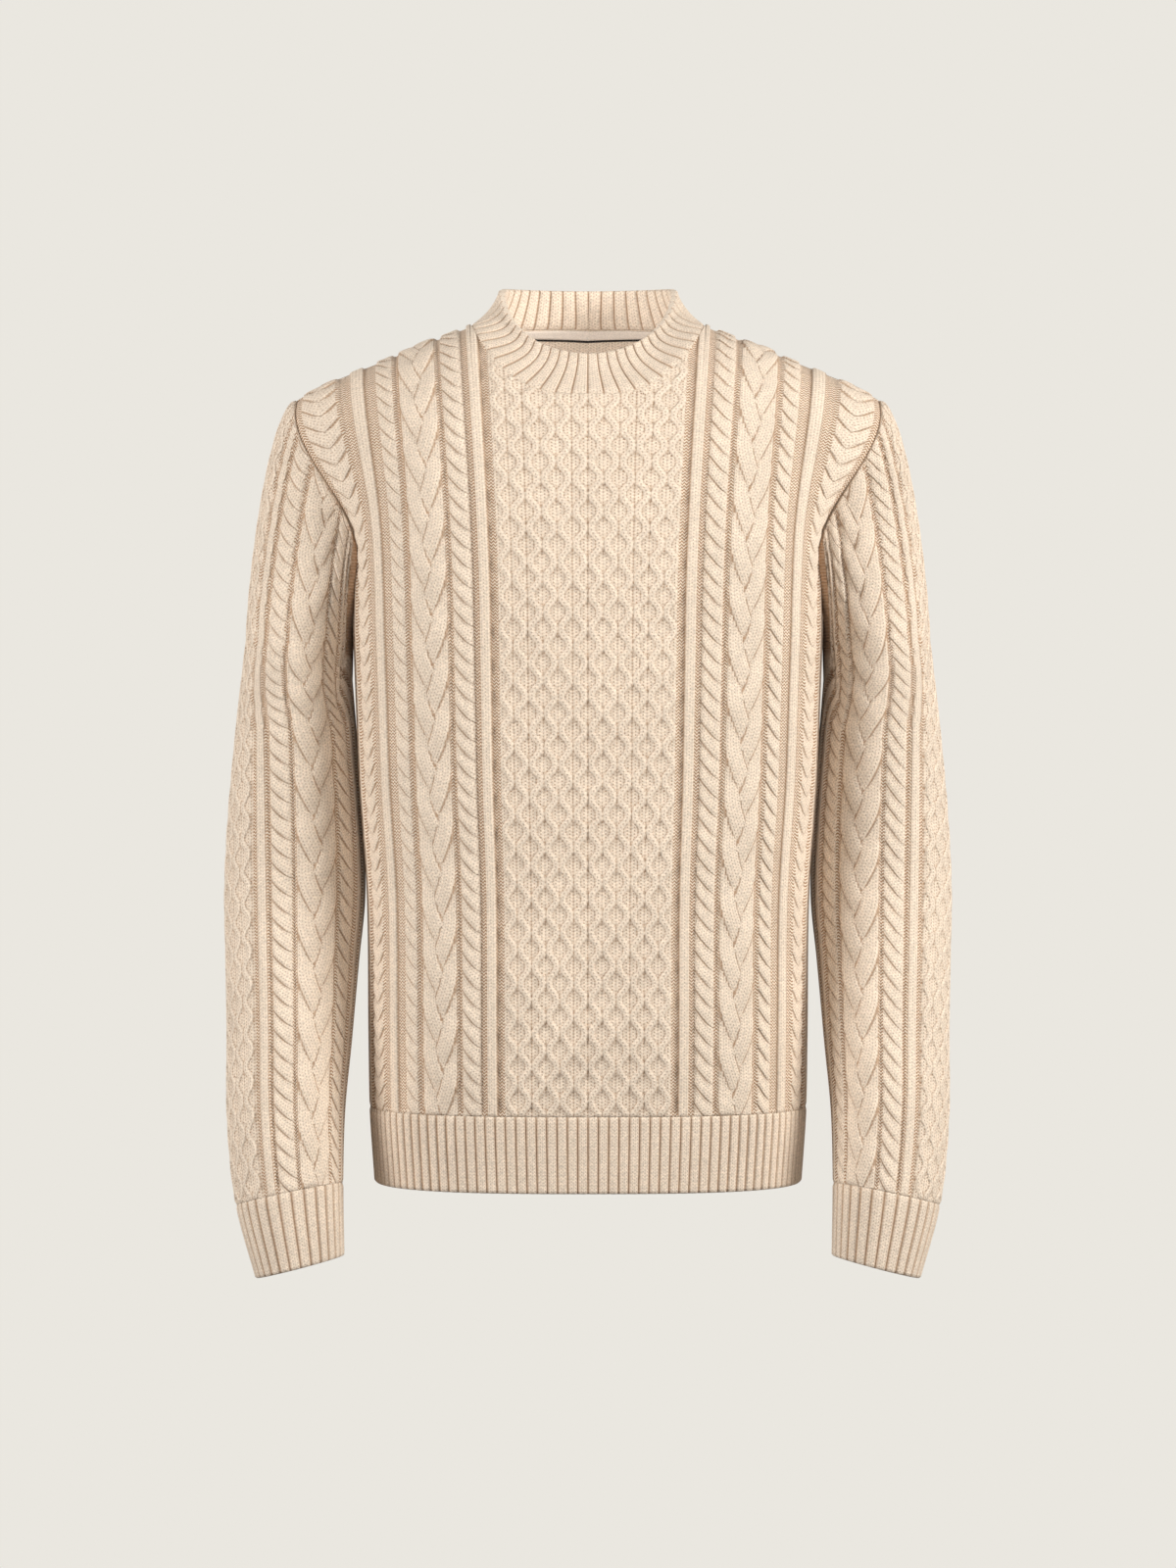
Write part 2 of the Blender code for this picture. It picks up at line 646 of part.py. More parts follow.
def sleeve_ring(hand, forwards, level):
    """Points round a sleeve, and its axis there. Forwards is distance from the middle of the outer side."""
    x = (read(SLEEVE, 1, level) + read(SLEEVE, 2, level)) / 2 * hand
    centre = np.stack([x, read(SLEEVE, 3, level), level], axis=-1)
    lean_in = np.tan(np.radians(read(SLEEVE, 6, level)))
    lean_forwards = np.tan(np.radians(read(SLEEVE, 7, level)))
    axis = unit(np.stack([hand * lean_in, lean_forwards, np.ones_like(lean_in)], axis=-1))
    outwards = np.zeros_like(axis)
    outwards[..., 0] = hand
    outwards = unit(outwards - axis * np.sum(outwards * axis, axis=-1, keepdims=True))
    front = np.cross(axis, outwards) * -hand
    wide = (read(SLEEVE, 1, level) - read(SLEEVE, 2, level)) / 2
    deep = read(SLEEVE, 4, level)
    turn = np.radians(read(SLEEVE, 5, level))
    angle = around_ellipse(forwards / SLEEVE_ACROSS, wide, deep, turn)
    reach = outwards * (wide * np.cos(angle))[..., None] + front * (deep * np.sin(angle))[..., None]
    return centre + reach, axis


def armhole_share(share):
    return share - CAP_SHIFT * np.sin(2 * np.pi * share)


def sleeve_path(hand, front_seam, back_seam, low=70, high=60):
    """Wales of a sleeve (hand 1 for the wearer's left) from its cuff seam up over its cap."""

    def path(across):
        forwards = -hand * np.asarray(across)
        forwards = (forwards + SLEEVE_ACROSS) % (2 * SLEEVE_ACROSS) - SLEEVE_ACROSS
        share = np.abs(forwards) / SLEEVE_ACROSS
        cap_level = SLEEVE[-1, 0] - CAP_DIP * share**2
        level = CUFF_SEAM + (cap_level - CUFF_SEAM)[:, None] * np.linspace(0, 1, low)[None, :]
        tube, axis = sleeve_ring(hand, forwards[:, None], level)
        start = tube[:, -1]
        place = armhole_share(share)
        front = (forwards >= 0)[:, None]
        end = np.where(front, front_seam.outer_at(place), back_seam.outer_at(place))
        away = np.where(front, front_seam.direction(place), back_seam.direction(place))
        reach = np.linalg.norm(start - end, axis=1, keepdims=True)
        leave = (axis[:, -1] * CAP_LEAVE * reach)[:, None]
        arrive = (-away * CAP_ARRIVE * reach)[:, None]
        part = np.linspace(0, 1, high)[None, 1:, None]
        return np.concatenate([tube, hermite(start[:, None], leave, end[:, None], arrive, part)], axis=1)

    return path


def sleeve(name, hand, front_seam, back_seam):
    path = sleeve_path(hand, front_seam, back_seam)
    edge = Wale(-SLEEVE_ACROSS, plain_rows(0.0))
    wales = [edge] + plan_wales(SLEEVE_PLAN)
    rows = plain_rows(0.0)
    plain = [Wale((n / 7 - 1) * SLEEVE_ACROSS, rows[:5] + rows[5::2]) for n in range(14)]
    cloths = [Cloth(path, [wale.across for wale in group]) for group in (wales, plain)]
    axis = sleeve_ring(hand, np.zeros(1), np.full(1, CUFF_SEAM))[1][0]
    for cloth in cloths:
        cloth.square_end(0, axis)
    outer, inner = cloths
    wall = Wall(name)
    near_seam = (5 * MM, 13 * MM)
    outer_lines = lay(wall, outer, wales, outer.at, near_seam, True)

    def place_inner(n, key, relief):
        return inner.at(n, key, -BACKING)

    inner_lines = lay(wall, inner, plain, place_inner, near_seam)
    shares = np.linspace(0, 1, 401)

    def keys(side):
        return lambda share: -hand * side * SLEEVE_ACROSS * np.interp(share, armhole_share(shares), shares)

    parts = [(front_seam, keys(1)), (back_seam, keys(-1))]
    if hand < 0:
        parts.reverse()
    return closed_piece((wall, outer_lines, inner_lines), (wales, plain), 2 * SLEEVE_ACROSS, -1, parts, False)


def cuff(name, hand):
    """A ribbed cuff, drawn in towards its edge."""

    def path(around):
        across = np.asarray(around) * 2 * SLEEVE_ACROSS
        top = CUFF_SEAM - GAP
        level = np.linspace(CUFF_EDGE, top, 24)[None, :] + np.zeros((len(across), 1))
        return sleeve_ring(hand, -hand * across[:, None], level)[0]

    axes = [sleeve_ring(hand, np.zeros(1), np.full(1, level))[1][0] for level in (CUFF_EDGE, CUFF_SEAM)]
    return ribbed_piece(name, path, CUFF_RIBS, CUFF_RIBS // 2, axes, (), RIB)


def ribbed_piece(name, path, ribs, plain, axes, rows, relief, parts=()):
    """A closed ribbed piece. Around is its share of the way round, and axes are square to its edges."""
    wales = [Wale(n / (2 * ribs), []) for n in range(2 * ribs)]
    smooth = [Wale(n / plain, []) for n in range(plain)]
    outer, inner = [Cloth(path, [wale.across for wale in group], 0.002) for group in (wales, smooth)]
    for cloth in (outer, inner):
        for end, axis in zip((0, -1), axes):
            cloth.square_end(end, axis)
    wall = Wall(name)
    outer_lines = []
    inner_lines = []
    for cloth, lines in ((outer, outer_lines), (inner, inner_lines)):
        for n, top in enumerate(cloth.tops):
            keys = ([] if parts else [0.0]) + [row for row in rows if row < top - 5 * MM] + [top]
            if cloth is outer:
                raised = relief if n % 2 else GROOVE
            else:
                raised = -BACKING
            lines.append(wall.run([cloth.at(n, key, raised) for key in keys], keys, [raised] * len(keys)))
    return closed_piece((wall, outer_lines, inner_lines), (wales, smooth), 1.0, 0 if parts else None, parts)


def hem():
    """The ribbed hem, one ring under the front and back."""

    def path(around):
        around = np.asarray(around) % 1.0
        is_front = around < 0.5
        across = (4 * (around % 0.5) - 1) * SIDE_ACROSS
        share = np.abs(across) / SIDE_ACROSS
        deep, wide = squarish(np.interp(share, QUARTER_SHARE, QUARTER_ANGLE), BODY_SQUARENESS)
        level = np.linspace(HEM_EDGE, HEM_SEAM - GAP, 20)[None, :]
        side = np.where(is_front, -1.0, 1.0)
        x = read(BODY, 1, level) * (wide * np.sign(across) * -side)[:, None]
        depth = np.where(is_front[:, None], read(BODY, 2, level), read(BODY, 3, level))
        return np.stack([x, depth * (deep * side)[:, None], level + 0 * x], axis=2)

    up = np.array([0.0, 0.0, 1.0])
    return ribbed_piece("hem_rib", path, HEM_RIBS, HEM_RIBS // 2, (up, up), (), RIB)


def neckband(front_seam, back_seam):
    """The neckband, from the neck seam up to its own edge."""
    front_share = front_seam.length / (front_seam.length + back_seam.length)

    def path(around):
        around = np.asarray(around) % 1.0
        is_front = around < front_share
        share = np.where(is_front, around / front_share, (around - front_share) / (1 - front_share))
        chosen = is_front[:, None]
        start = np.where(chosen, front_seam.outer_at(share), back_seam.outer_at(share))
        away = np.where(chosen, front_seam.direction(share), back_seam.direction(share))
        angle = np.pi * (share + np.where(is_front, 1.0, 0.0))
        x = BAND_HALF * np.cos(angle)
        y = np.where(is_front, BAND_FRONT, BAND_BACK) * np.sin(angle)
        z = BAND_SIDE_HEIGHT + BAND_TILT * y - BAND_SAG * (np.hypot(y, BAND_ROUND) - BAND_ROUND)
        end = np.stack([x, y, z], axis=1)
        reach = np.linalg.norm(end - start, axis=1, keepdims=True)
        lean = [-BAND_FLARE * np.cos(angle), -BAND_FLARE * np.sin(angle), np.ones_like(x)]
        arrive = unit(np.stack(lean, axis=1))
        part = np.linspace(0, 1, 24)[None, :, None]
        return hermite(start[:, None], (away * BAND_LEAVE * reach)[:, None], end[:, None], (arrive * reach)[:, None], part)

    parts = [
        (front_seam, lambda share: share * front_share),
        (back_seam, lambda share: front_share + share * (1 - front_share)),
    ]
    return ribbed_piece("neckband", path, BAND_RIBS, BAND_RIBS // 2, (), (5 * MM,), BAND_RIB, parts)


def tape(name, top, bottom, thickness):
    """A strip on the inside of the back, between two distances below the neck seam."""
    across = sorted({sign * place for place in INNER_ACROSS[:TAPE_LINES] for sign in (-1, 1)})
    wales = [Wale(place, []) for place in across]
    cloth = body_cloth(1, wales)
    wall = Wall(name)
    faces = []
    for lift in (-BACKING - TAPE_LIFT, -BACKING - TAPE_LIFT - thickness):
        lines = []
        for n in range(len(wales)):
            heights = [cloth.tops[n] - bottom, cloth.tops[n] - top]
            lines.append(wall.run([cloth.at(n, height, lift) for height in heights], heights, (0, 0)))
        for left, right in zip(lines, lines[1:]):
            wall.zip(left, right)
        faces.append(lines)
    for edge in (0, 1):
        wall.rim([line[edge] for line in faces[0]], [line[edge] for line in faces[1]])
    for end in (0, -1):
        wall.rim(faces[0][end], faces[1][end])
    return wall


def pointing_out(wall):
    """Turns every face of a closed wall outwards."""
    points = np.array(wall.points)
    corners = {}
    for n, face in enumerate(wall.faces):
        for edge in zip(face, face[1:] + face[:1]):
            corners.setdefault(frozenset(edge), []).append(n)
    faces = [list(face) for face in wall.faces]
    done = {0}
    waiting = [0]
    while waiting:
        n = waiting.pop()
        face = faces[n]
        for edge in zip(face, face[1:] + face[:1]):
            for other in corners[frozenset(edge)]:
                if other not in done:
                    turned = faces[other]
                    if edge in zip(turned, turned[1:] + turned[:1]):
                        faces[other] = turned[::-1]
                    done.add(other)
                    waiting.append(other)
    faces = np.array(faces)
    volume = np.linalg.det(points[faces]).sum()
    wall.faces = [tuple(face) for face in (faces[:, ::-1] if volume < 0 else faces).tolist()]


def main():
    for leftover in list(bpy.data.objects):
        bpy.data.objects.remove(leftover)
    collection = bpy.data.collections.new("cable knit sweater")
    bpy.context.scene.collection.children.link(collection)
    front, front_edges = body_panel("front_panel", -1)
    back, back_edges = body_panel("back_panel", 1)
    walls = [front, back]
    for name, hand in (("left", 1), ("right", -1)):
        front_arm, back_arm = ("right arm", "left arm") if hand > 0 else ("left arm", "right arm")
        seams = [
            Seam(*front_edges[front_arm], turned=hand < 0, hinged=True),
            Seam(*back_edges[back_arm], turned=hand > 0, hinged=True),
        ]
        walls.append(sleeve("sleeve_" + name, hand, *seams))
        walls.append(cuff("cuff_" + name, hand))
    walls.append(neckband(Seam(*front_edges["neck"]), Seam(*back_edges["neck"])))
    walls.append(hem())
    yarn = (0.72, 0.60, 0.48)
    for wall in walls:
        pointing_out(wall)
        wall.build(yarn, 0.9, collection)
    neck_tape = tape("neck_tape", 0.5 * MM, TAPE_DEPTH, 1.0 * MM)
    binding = tape("tape_binding", TAPE_DEPTH + GAP, TAPE_DEPTH + 2.5 * MM, 1.2 * MM)
    for wall, colour in ((neck_tape, (0.69, 0.61, 0.53)), (binding, (0.02, 0.02, 0.02))):
        pointing_out(wall)
        wall.build(colour, 0.85, collection)


main()
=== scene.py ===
"""Looks of the cable knit sweater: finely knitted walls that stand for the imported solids.

Metres, +Z up, the front towards -Y, the wearer's left towards +X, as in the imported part. A knitted
piece is a grid of wales, lines that run up it, and rows. A wale's place ACROSS and a point's HEIGHT
along it say which strand of the stitch plan lies there, and so how far the point is raised.
"""

import bpy
import numpy as np
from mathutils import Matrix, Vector

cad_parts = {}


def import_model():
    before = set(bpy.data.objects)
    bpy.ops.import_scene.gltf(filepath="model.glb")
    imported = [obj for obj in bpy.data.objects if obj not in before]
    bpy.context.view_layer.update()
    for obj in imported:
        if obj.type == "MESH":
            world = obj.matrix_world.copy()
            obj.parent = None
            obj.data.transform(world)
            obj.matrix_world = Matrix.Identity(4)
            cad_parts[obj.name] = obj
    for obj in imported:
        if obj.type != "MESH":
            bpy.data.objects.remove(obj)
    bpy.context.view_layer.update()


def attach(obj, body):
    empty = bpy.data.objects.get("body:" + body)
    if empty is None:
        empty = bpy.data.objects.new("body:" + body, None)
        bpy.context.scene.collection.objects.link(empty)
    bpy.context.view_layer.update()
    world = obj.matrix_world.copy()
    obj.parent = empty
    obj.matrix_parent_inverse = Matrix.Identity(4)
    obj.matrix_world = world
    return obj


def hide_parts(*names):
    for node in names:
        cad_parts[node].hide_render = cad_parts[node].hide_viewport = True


MM = 0.001
GAP = 0.06 * MM  # between two pieces at their seam
BACKING = 4.0 * MM  # from the mean outer face in to the inner face
HAIR = 0.01 * MM  # two places that are less apart are the same

# The body of the sweater.
HEM_SEAM = -0.6165
HEM_EDGE = -0.6765
UNDERARM = -0.235
BODY_SQUARENESS = 2.7
SHOULDER_SQUARENESS = 2.5
BODY = np.array(
    # height, half width, front depth, back depth
    [
        (HEM_EDGE, 0.1705, 0.116, 0.108),
        (HEM_SEAM, 0.1745, 0.121, 0.113),
        (-0.560, 0.1755, 0.126, 0.117),
        (-0.440, 0.1772, 0.127, 0.119),
        (-0.360, 0.183, 0.129, 0.122),
        (-0.285, 0.186, 0.131, 0.125),
        (UNDERARM, 0.188, 0.131, 0.126),
    ]
)
ARMHOLE_ACROSS = 0.215
SIDE_ACROSS = 0.266
ARMHOLE_CURVE = 0.070
SHOULDER_SPREAD = np.array(
    # across, distance from the middle on the shoulder line
    [
        (0.0, 0.0), (0.036, 0.043), (0.072, 0.0855), (0.086, 0.1005),
        (0.177, 0.189), (0.215, 0.235), (0.260, 0.280),
    ]
)  # fmt: skip
ARMHOLE_SPREAD = (0.3, 0.95)  # shares of the armhole's height between which its wales spread
NECK_HALF = 0.0945
SHOULDER_TOP = 0.0468
SHOULDER_SLOPE = 0.396
SHOULDER_TIP = 0.2
TIP_LENGTH = 35 * MM  # past the tip, where the shoulder has dropped by
TIP_DROP = 4 * MM
NOT_CUT = 9.0  # a height over everything
NECKS = {-1: (-0.0565, 3.1), 1: (0.018, 2.1)}  # for each side, the middle's height and a power

# The sleeves, for the wearer's left one.
SLEEVE = np.array(
    # height, outer x, inner x, y of the middle, half depth, turn to the front in degrees, and the
    # ring's lean inwards and forwards, going down
    [
        (-0.740, 0.2605, 0.1911, -0.075, 0.039, 18.0, 14.5, 4.0),
        (-0.682, 0.2775, 0.1930, -0.063, 0.049, 18.0, 12.0, 7.0),
        (-0.620, 0.2850, 0.1930, -0.050, 0.052, 16.0, 5.0, 10.0),
        (-0.560, 0.2865, 0.1885, -0.035, 0.0535, 13.0, 0.0, 12.0),
        (-0.497, 0.2890, 0.1837, -0.020, 0.054, 10.0, 0.0, 12.0),
        (-0.450, 0.2910, 0.1797, -0.010, 0.054, 8.0, 0.0, 10.0),
        (-0.404, 0.2900, 0.1809, -0.004, 0.0565, 7.0, 0.0, 5.0),
        (-0.325, 0.2835, 0.1866, 0.000, 0.0615, 4.0, -2.0, 1.4),
        (-0.245, 0.2745, 0.1930, 0.000, 0.066, 0.0, -2.0, 0.0),
    ]
)
CUFF_SEAM = -0.682
CUFF_EDGE = -0.738
SLEEVE_ACROSS = 0.172
CAP_DIP = 0.030
CAP_SHIFT = 0.045
CAP_LEAVE = 0.9
CAP_ARRIVE = 0.35
CAP_PLAN = (-0.32, -0.25)  # heights between which the stitch plan turns straight up
HINGE_START = 8.0  # degrees, where a sleeve leaves the armhole's top
HINGE_END = 165.0  # degrees, at the underarm
HINGE_HELD = 0.2  # share of the seam along which it stays open

# The neckband.
BAND_HALF = 0.071
BAND_FRONT = 0.085
BAND_BACK = 0.057
BAND_SIDE_HEIGHT = 0.038
BAND_TILT = 0.41
BAND_SAG = 0.35
BAND_ROUND = 0.015
BAND_FLARE = 0.15
BAND_LEAVE = 0.35
BAND_RIBS = 50
HEM_RIBS = 124
CUFF_RIBS = 28
CUFF_RIB_PITCH = 9.0 * MM

# The tape over the back neck seam.
TAPE_LIFT = 0.3 * MM  # off the cloth
TAPE_THICKNESS = 1.0 * MM
TAPES = (
    # piece, mm down from the neck seam to its two edges, colour
    ("neck_tape", (0.5, 10), (0.86, 0.77, 0.68)),
    ("tape_binding", (10.3, 12.3), (0.02, 0.018, 0.016)),
)

# The knitting.
WALE = 2.2  # mm
COURSE = 2.55  # mm
ROPE_PITCH = 14.8  # mm from one crossing to the next
ROPE_BOW = (0.95, 0.22)  # how steeply a crossing's crease falls, and how much it bows
ROPE_DIP = 1.5  # mm, how deep the strand below lies before it comes up
ROPE_CREASE = 0.8  # mm, how deep the crease over it is
PLAIT_PITCH = 39.3  # mm
PLAIT_SWING = 0.29  # how far a strand swings, as a share of the plait's width
PLAIT_STRAND = 0.215  # half a strand, as a share of that width
RING_HALF = 13.0  # mm, half the height of a honeycomb ring
RING_WIDTH = 11.5  # mm, one column of honeycomb rings
RING_SWING = 3.0  # mm that a ring's strand swings to each side
GROUND = -1.7  # mm, where the purl stitches lie
REVERSE = 0.35  # how far a plain inner face looks like purl
SEAM_FADE = 3.0  # mm from a seam over which the relief dies away
EDGE_REACH = 1.6  # mm from a free edge in which the wall rounds off
EDGE_ROUND = 1.4  # mm that each side gives way at such an edge
RIB_MARGIN = 0.45  # mm of shade to each side of a rib in the bands
NO_EDGE = 9.0  # mm, farther from a strand's edge than shade reaches
NOWHERE = -99.0  # mm, the relief of a strand beside itself
BODY_PLAN = (
    ("honeycomb", 69.0), ("purl", 6.0), ("rib", 8.6), ("purl", 5.7), ("rope", 14.7),
    ("purl", 4.4), ("plait", 32.1), ("purl", 4.5), ("rope", 14.8), ("purl", 8.7),
    ("rib", 10.0), ("purl", 9.5), ("double rope", 22.0), ("purl", 8.0), ("rib", 9.0),
    ("purl", 7.0), ("rib", 9.0), ("purl", 7.0), ("rib", 9.0), ("purl", 7.0),
)  # fmt: skip
SLEEVE_PLAN = (
    ("honeycomb", 46.0), ("purl", 5.0), ("rib", 9.0), ("purl", 4.5), ("rope", 16.0),
    ("purl", 3.5), ("plait", 34.0), ("purl", 3.0), ("rope", 16.0), ("purl", 5.0),
    ("rib", 8.0), ("purl", 5.0), ("rib", 8.0), ("purl", 4.0), ("rib", 5.0),
)  # fmt: skip

# The yarn.
YARN_LIGHT = (0.93, 0.80, 0.66, 1)
# Painted shade: the colour the yarn takes between its stitches, along creases and in the hollows of
# the relief.
YARN_PAINTED_SHADE = (0.36, 0.18, 0.07, 1)
YARN_BUMP = 0.55 * MM
STITCH_SHAKE = 0.25  # how far a stitch may sit off its place, in wales and courses
SHADE_REACH = (-0.1, 1.25)  # mm from a strand's edge between which its shade goes

# The stage.
FLOOR = -0.95
CAMERA = (0.0, -2.9, -0.359)
LENS = 82.6
SENSOR = 36.0
BACKDROP_COLOUR = (0.823, 0.799, 0.745, 1)
ROOM_COLOUR = (1.0, 0.96, 0.9, 1)
ROOM_STRENGTH = 0.12
LAMP = (1.0, 0.97, 0.94)
LIGHTS = (
    # name, place, aim, width, watts, colour
    ("key", (2.7, -1.5, 0.7), (0, 0, -0.4), 1.2, 96.0, (1.0, 0.97, 0.93)),
    ("fill", (-2.7, -1.5, 0.3), (0, 0, -0.5), 1.2, 70.0, LAMP),
    ("front", (0.5, -3.0, 0.0), (0, 0, -0.4), 1.2, 18.0, LAMP),
    ("top", (0.0, -1.3, 1.5), (0, 0.05, -0.05), 0.5, 4.0, LAMP),
    ("back", (-0.8, 2.9, 0.5), (0, 0, -0.4), 1.5, 60.0, LAMP),
    ("in the neck", (0.0, -0.04, -0.11), (0, 0.08, -0.06), 0.06, 0.13, LAMP),
)


def read(table, column, at):
    """A smooth curve through a table's rows, read at values of its first column."""
    keys = table[:, 0]
    values = table[:, column]
    slopes = np.gradient(values, keys)
    at = np.clip(at, keys[0], keys[-1])
    row = np.clip(np.searchsorted(keys, at) - 1, 0, len(keys) - 2)
    span = keys[row + 1] - keys[row]
    part = (at - keys[row]) / span
    return hermite(values[row], slopes[row] * span, values[row + 1], slopes[row + 1] * span, part)


def hermite(start, leave, end, arrive, part):
    square = part * part
    cube = square * part
    return (
        start * (2 * cube - 3 * square + 1)
        + leave * (cube - 2 * square + part)
        + end * (3 * square - 2 * cube)
        + arrive * (cube - square)
    )


def smoothstep(value):
    value = np.clip(value, 0.0, 1.0)
    return value * value * (3 - 2 * value)


def unit(vectors):
    return vectors / np.linalg.norm(vectors, axis=-1, keepdims=True)


def squarish(angle, squareness):
    """A rounded square of half width 1, at an angle from its first axis."""
    first = np.cos(angle)
    second = np.sin(angle)
    reach = (np.abs(first) ** squareness + np.abs(second) ** squareness) ** (-1 / squareness)
    return first * reach, second * reach


def quarter_by_length():
    """Angles round a quarter of the body, and the share of the cloth that lies before each."""
    angle = np.linspace(0.0, np.pi / 2, 721)
    deep, wide = squarish(angle, BODY_SQUARENESS)
    deep = deep * read(BODY, 2, -0.40)
    wide = wide * read(BODY, 1, -0.40)
    run = np.concatenate([[0.0], np.cumsum(np.hypot(np.diff(deep), np.diff(wide)))])
    return angle, run / run[-1]


QUARTER_ANGLE, QUARTER_SHARE = quarter_by_length()


# How far across the cloth the inner end of the shoulder seam lies.
ACROSS = np.linspace(0.0, ARMHOLE_ACROSS, 2151)
NECK_ACROSS = float(np.interp(NECK_HALF, read(SHOULDER_SPREAD, 1, ACROSS), ACROSS))


def shoulder_height(x):
    past_tip = np.clip((x - SHOULDER_TIP) / TIP_LENGTH, 0, 1.5)
    return SHOULDER_TOP - SHOULDER_SLOPE * x - TIP_DROP * past_tip**2


def neck_height(x, side):
    """The neck seam's height on the front (side -1) or back (side 1), and none past its ends."""
    end = shoulder_height(NECK_HALF)
    middle, power = NECKS[side]
    share = np.abs(x) / NECK_HALF
    return np.where(share < 1, middle + (end - middle) * np.minimum(share, 1) ** power, NOT_CUT)


def armhole_level(distance):
    """Height of the armhole's lower curve, from the side seam in to the armhole's straight side."""
    share = np.clip((SIDE_ACROSS - distance) / (SIDE_ACROSS - ARMHOLE_ACROSS), 0.0, 1.0)
    return UNDERARM + ARMHOLE_CURVE * (1 - np.sqrt(1 - share**2))


def body_ring(side, share, level):
    """Half width and depth of the body, by shares of the way from a panel's middle to its side."""
    beyond = np.where(share > 1, -1.0, 1.0)
    angle = np.interp(np.where(share > 1, 2 - share, share), QUARTER_SHARE, QUARTER_ANGLE)
    deep, wide = squarish(angle, BODY_SQUARENESS)
    return read(BODY, 1, level) * wide, read(BODY, 2 if side < 0 else 3, level) * deep * beyond


def body_path(side, across, low=90, high=160):
    """Wales of the front (side -1) or back (side 1); across runs to the right, seen from outside.

    Each has low points up to the underarm and high more over it.
    """
    across = across[:, None]
    distance = np.abs(across)
    level = np.linspace(HEM_SEAM, UNDERARM, low)
    lower_x, lower_y = body_ring(side, distance / SIDE_ACROSS, level)
    start_x = lower_x[:, -1:]
    start_y = lower_y[:, -1:]
    end_x = read(SHOULDER_SPREAD, 1, distance)
    turn = np.linspace(0.0, np.pi / 2, high)[1:]
    inwards, upwards = squarish(turn, SHOULDER_SQUARENESS)
    edge_share = np.minimum(distance / ARMHOLE_ACROSS, 1.0) ** 4
    late = smoothstep((upwards - ARMHOLE_SPREAD[0]) / (ARMHOLE_SPREAD[1] - ARMHOLE_SPREAD[0]))
    spread = upwards**1.5 * (1 - edge_share) + late * edge_share
    upper_x = start_x + (end_x - start_x) * spread
    upper_y = start_y * inwards
    upper_z = UNDERARM + (shoulder_height(end_x) - UNDERARM) * upwards
    x = np.concatenate([lower_x, upper_x], axis=1) * np.sign(across) * -side
    y = np.concatenate([lower_y, upper_y], axis=1) * side
    z = np.concatenate([np.broadcast_to(level, lower_x.shape), upper_z], axis=1)
    return np.stack([x, y, z], axis=2)


class Cloth:
    """A piece's mean outer face as wales, each a row of points from its lower edge up."""

    def __init__(self, path, across, step=0.5 * MM):
        self.points = path(across)
        sideways = path(across + step) - path(across - step)
        self.normals = unit(np.cross(sideways, np.gradient(self.points, axis=1)))
        runs = np.linalg.norm(np.diff(self.points, axis=1), axis=2)
        self.heights = np.pad(np.cumsum(runs, axis=1), [(0, 0), (1, 0)])
        self.tops = self.heights[:, -1].copy()

    def cut(self, wale, excess):
        """Ends a wale where excess, a value for each of its points, first passes zero."""
        over = np.nonzero(excess >= 0)[0]
        if len(over) and over[0] > 0:
            after = over[0]
            share = -excess[after - 1] / (excess[after] - excess[after - 1])
            run = self.heights[wale]
            self.tops[wale] = run[after - 1] + share * (run[after] - run[after - 1])

    def height_at_level(self, wale, level):
        return float(np.interp(level, self.points[wale, :, 2], self.heights[wale]))

    def square_end(self, end, axis):
        """Makes an end's normals square to an axis, so that its edge is flat."""
        edge = self.normals[:, end]
        self.normals[:, end] = unit(edge - axis * (edge @ axis)[:, None])

    def at(self, heights):
        """Points and normals at heights, which has a row for each wale."""
        points, normals = [
            np.stack([along(line, run, at) for at, run, line in zip(heights, self.heights, lines)])
            for lines in (self.points, self.normals)
        ]
        return points, unit(normals)


def body_cloth(side, across):
    """The cloth of the front or back, each wale ended at the neck, the shoulder or the armhole."""
    cloth = Cloth(lambda places: body_path(side, places), across)
    cloth.normals[:, 0, 2] = 0.0
    cloth.normals = unit(cloth.normals)
    for n, place in enumerate(across):
        x, _, z = cloth.points[n].T
        if abs(place) < NECK_ACROSS - HAIR:
            cloth.cut(n, z - neck_height(x, side))
        elif abs(place) > ARMHOLE_ACROSS + HAIR:
            cloth.cut(n, z - armhole_level(abs(place)))
    return cloth


class Strand:
    """One raised line of knitting, in millimetres: middle and crest tell its place and its height.

    Its top is flat and its flanks fall by drop, the more sharply the greater its squareness is.
    Dotted is how far shade gathers in dots at its edges, and margin how wide the shade lies there.
    """

    def __init__(
        self, middle, half, crest, wales, drop=1.5, squareness=3.0, dotted=0.0, margin=0.0
    ):
        self.middle = middle
        self.half = half
        self.crest = crest
        self.wales = wales
        self.drop = drop
        self.squareness = squareness
        self.dotted = dotted
        self.margin = margin
        heights = np.linspace(0.0, 2 * PLAIT_PITCH * 3, 400)
        self.low = np.min(middle(heights)) - 1.3 * half
        self.high = np.max(middle(heights)) + 1.3 * half

    def near(self, across):
        return (across > self.low) & (across < self.high)

    def lie(self, across, height):
        """Distance from the middle, square to the strand, and the height of the nearest place."""
        slope = (self.middle(height + 0.2) - self.middle(height - 0.2)) / 0.4
        off = (across - self.middle(height)) / (1 + slope**2)
        return off * np.sqrt(1 + slope**2), height + off * slope

    def relief(self, across, height):
        away, along = self.lie(across, height)
        share = np.minimum(np.abs(away) / self.half, 1.0)
        flank = 1 - (1 - 0.97 * share**self.squareness) ** (1 / self.squareness)
        on_it = np.abs(away) < 1.001 * self.half
        return np.where(on_it, self.crest(along) - self.drop * flank, NOWHERE)

    def stitch(self, across, height):
        """The place in wales and courses, and the distance in from the strand's edge."""
        away, along = self.lie(across, height)
        wale = away * self.wales / (2 * self.half) + self.wales % 2 / 2
        return wale, along / COURSE, np.maximum(self.half - self.margin - np.abs(away), 0)


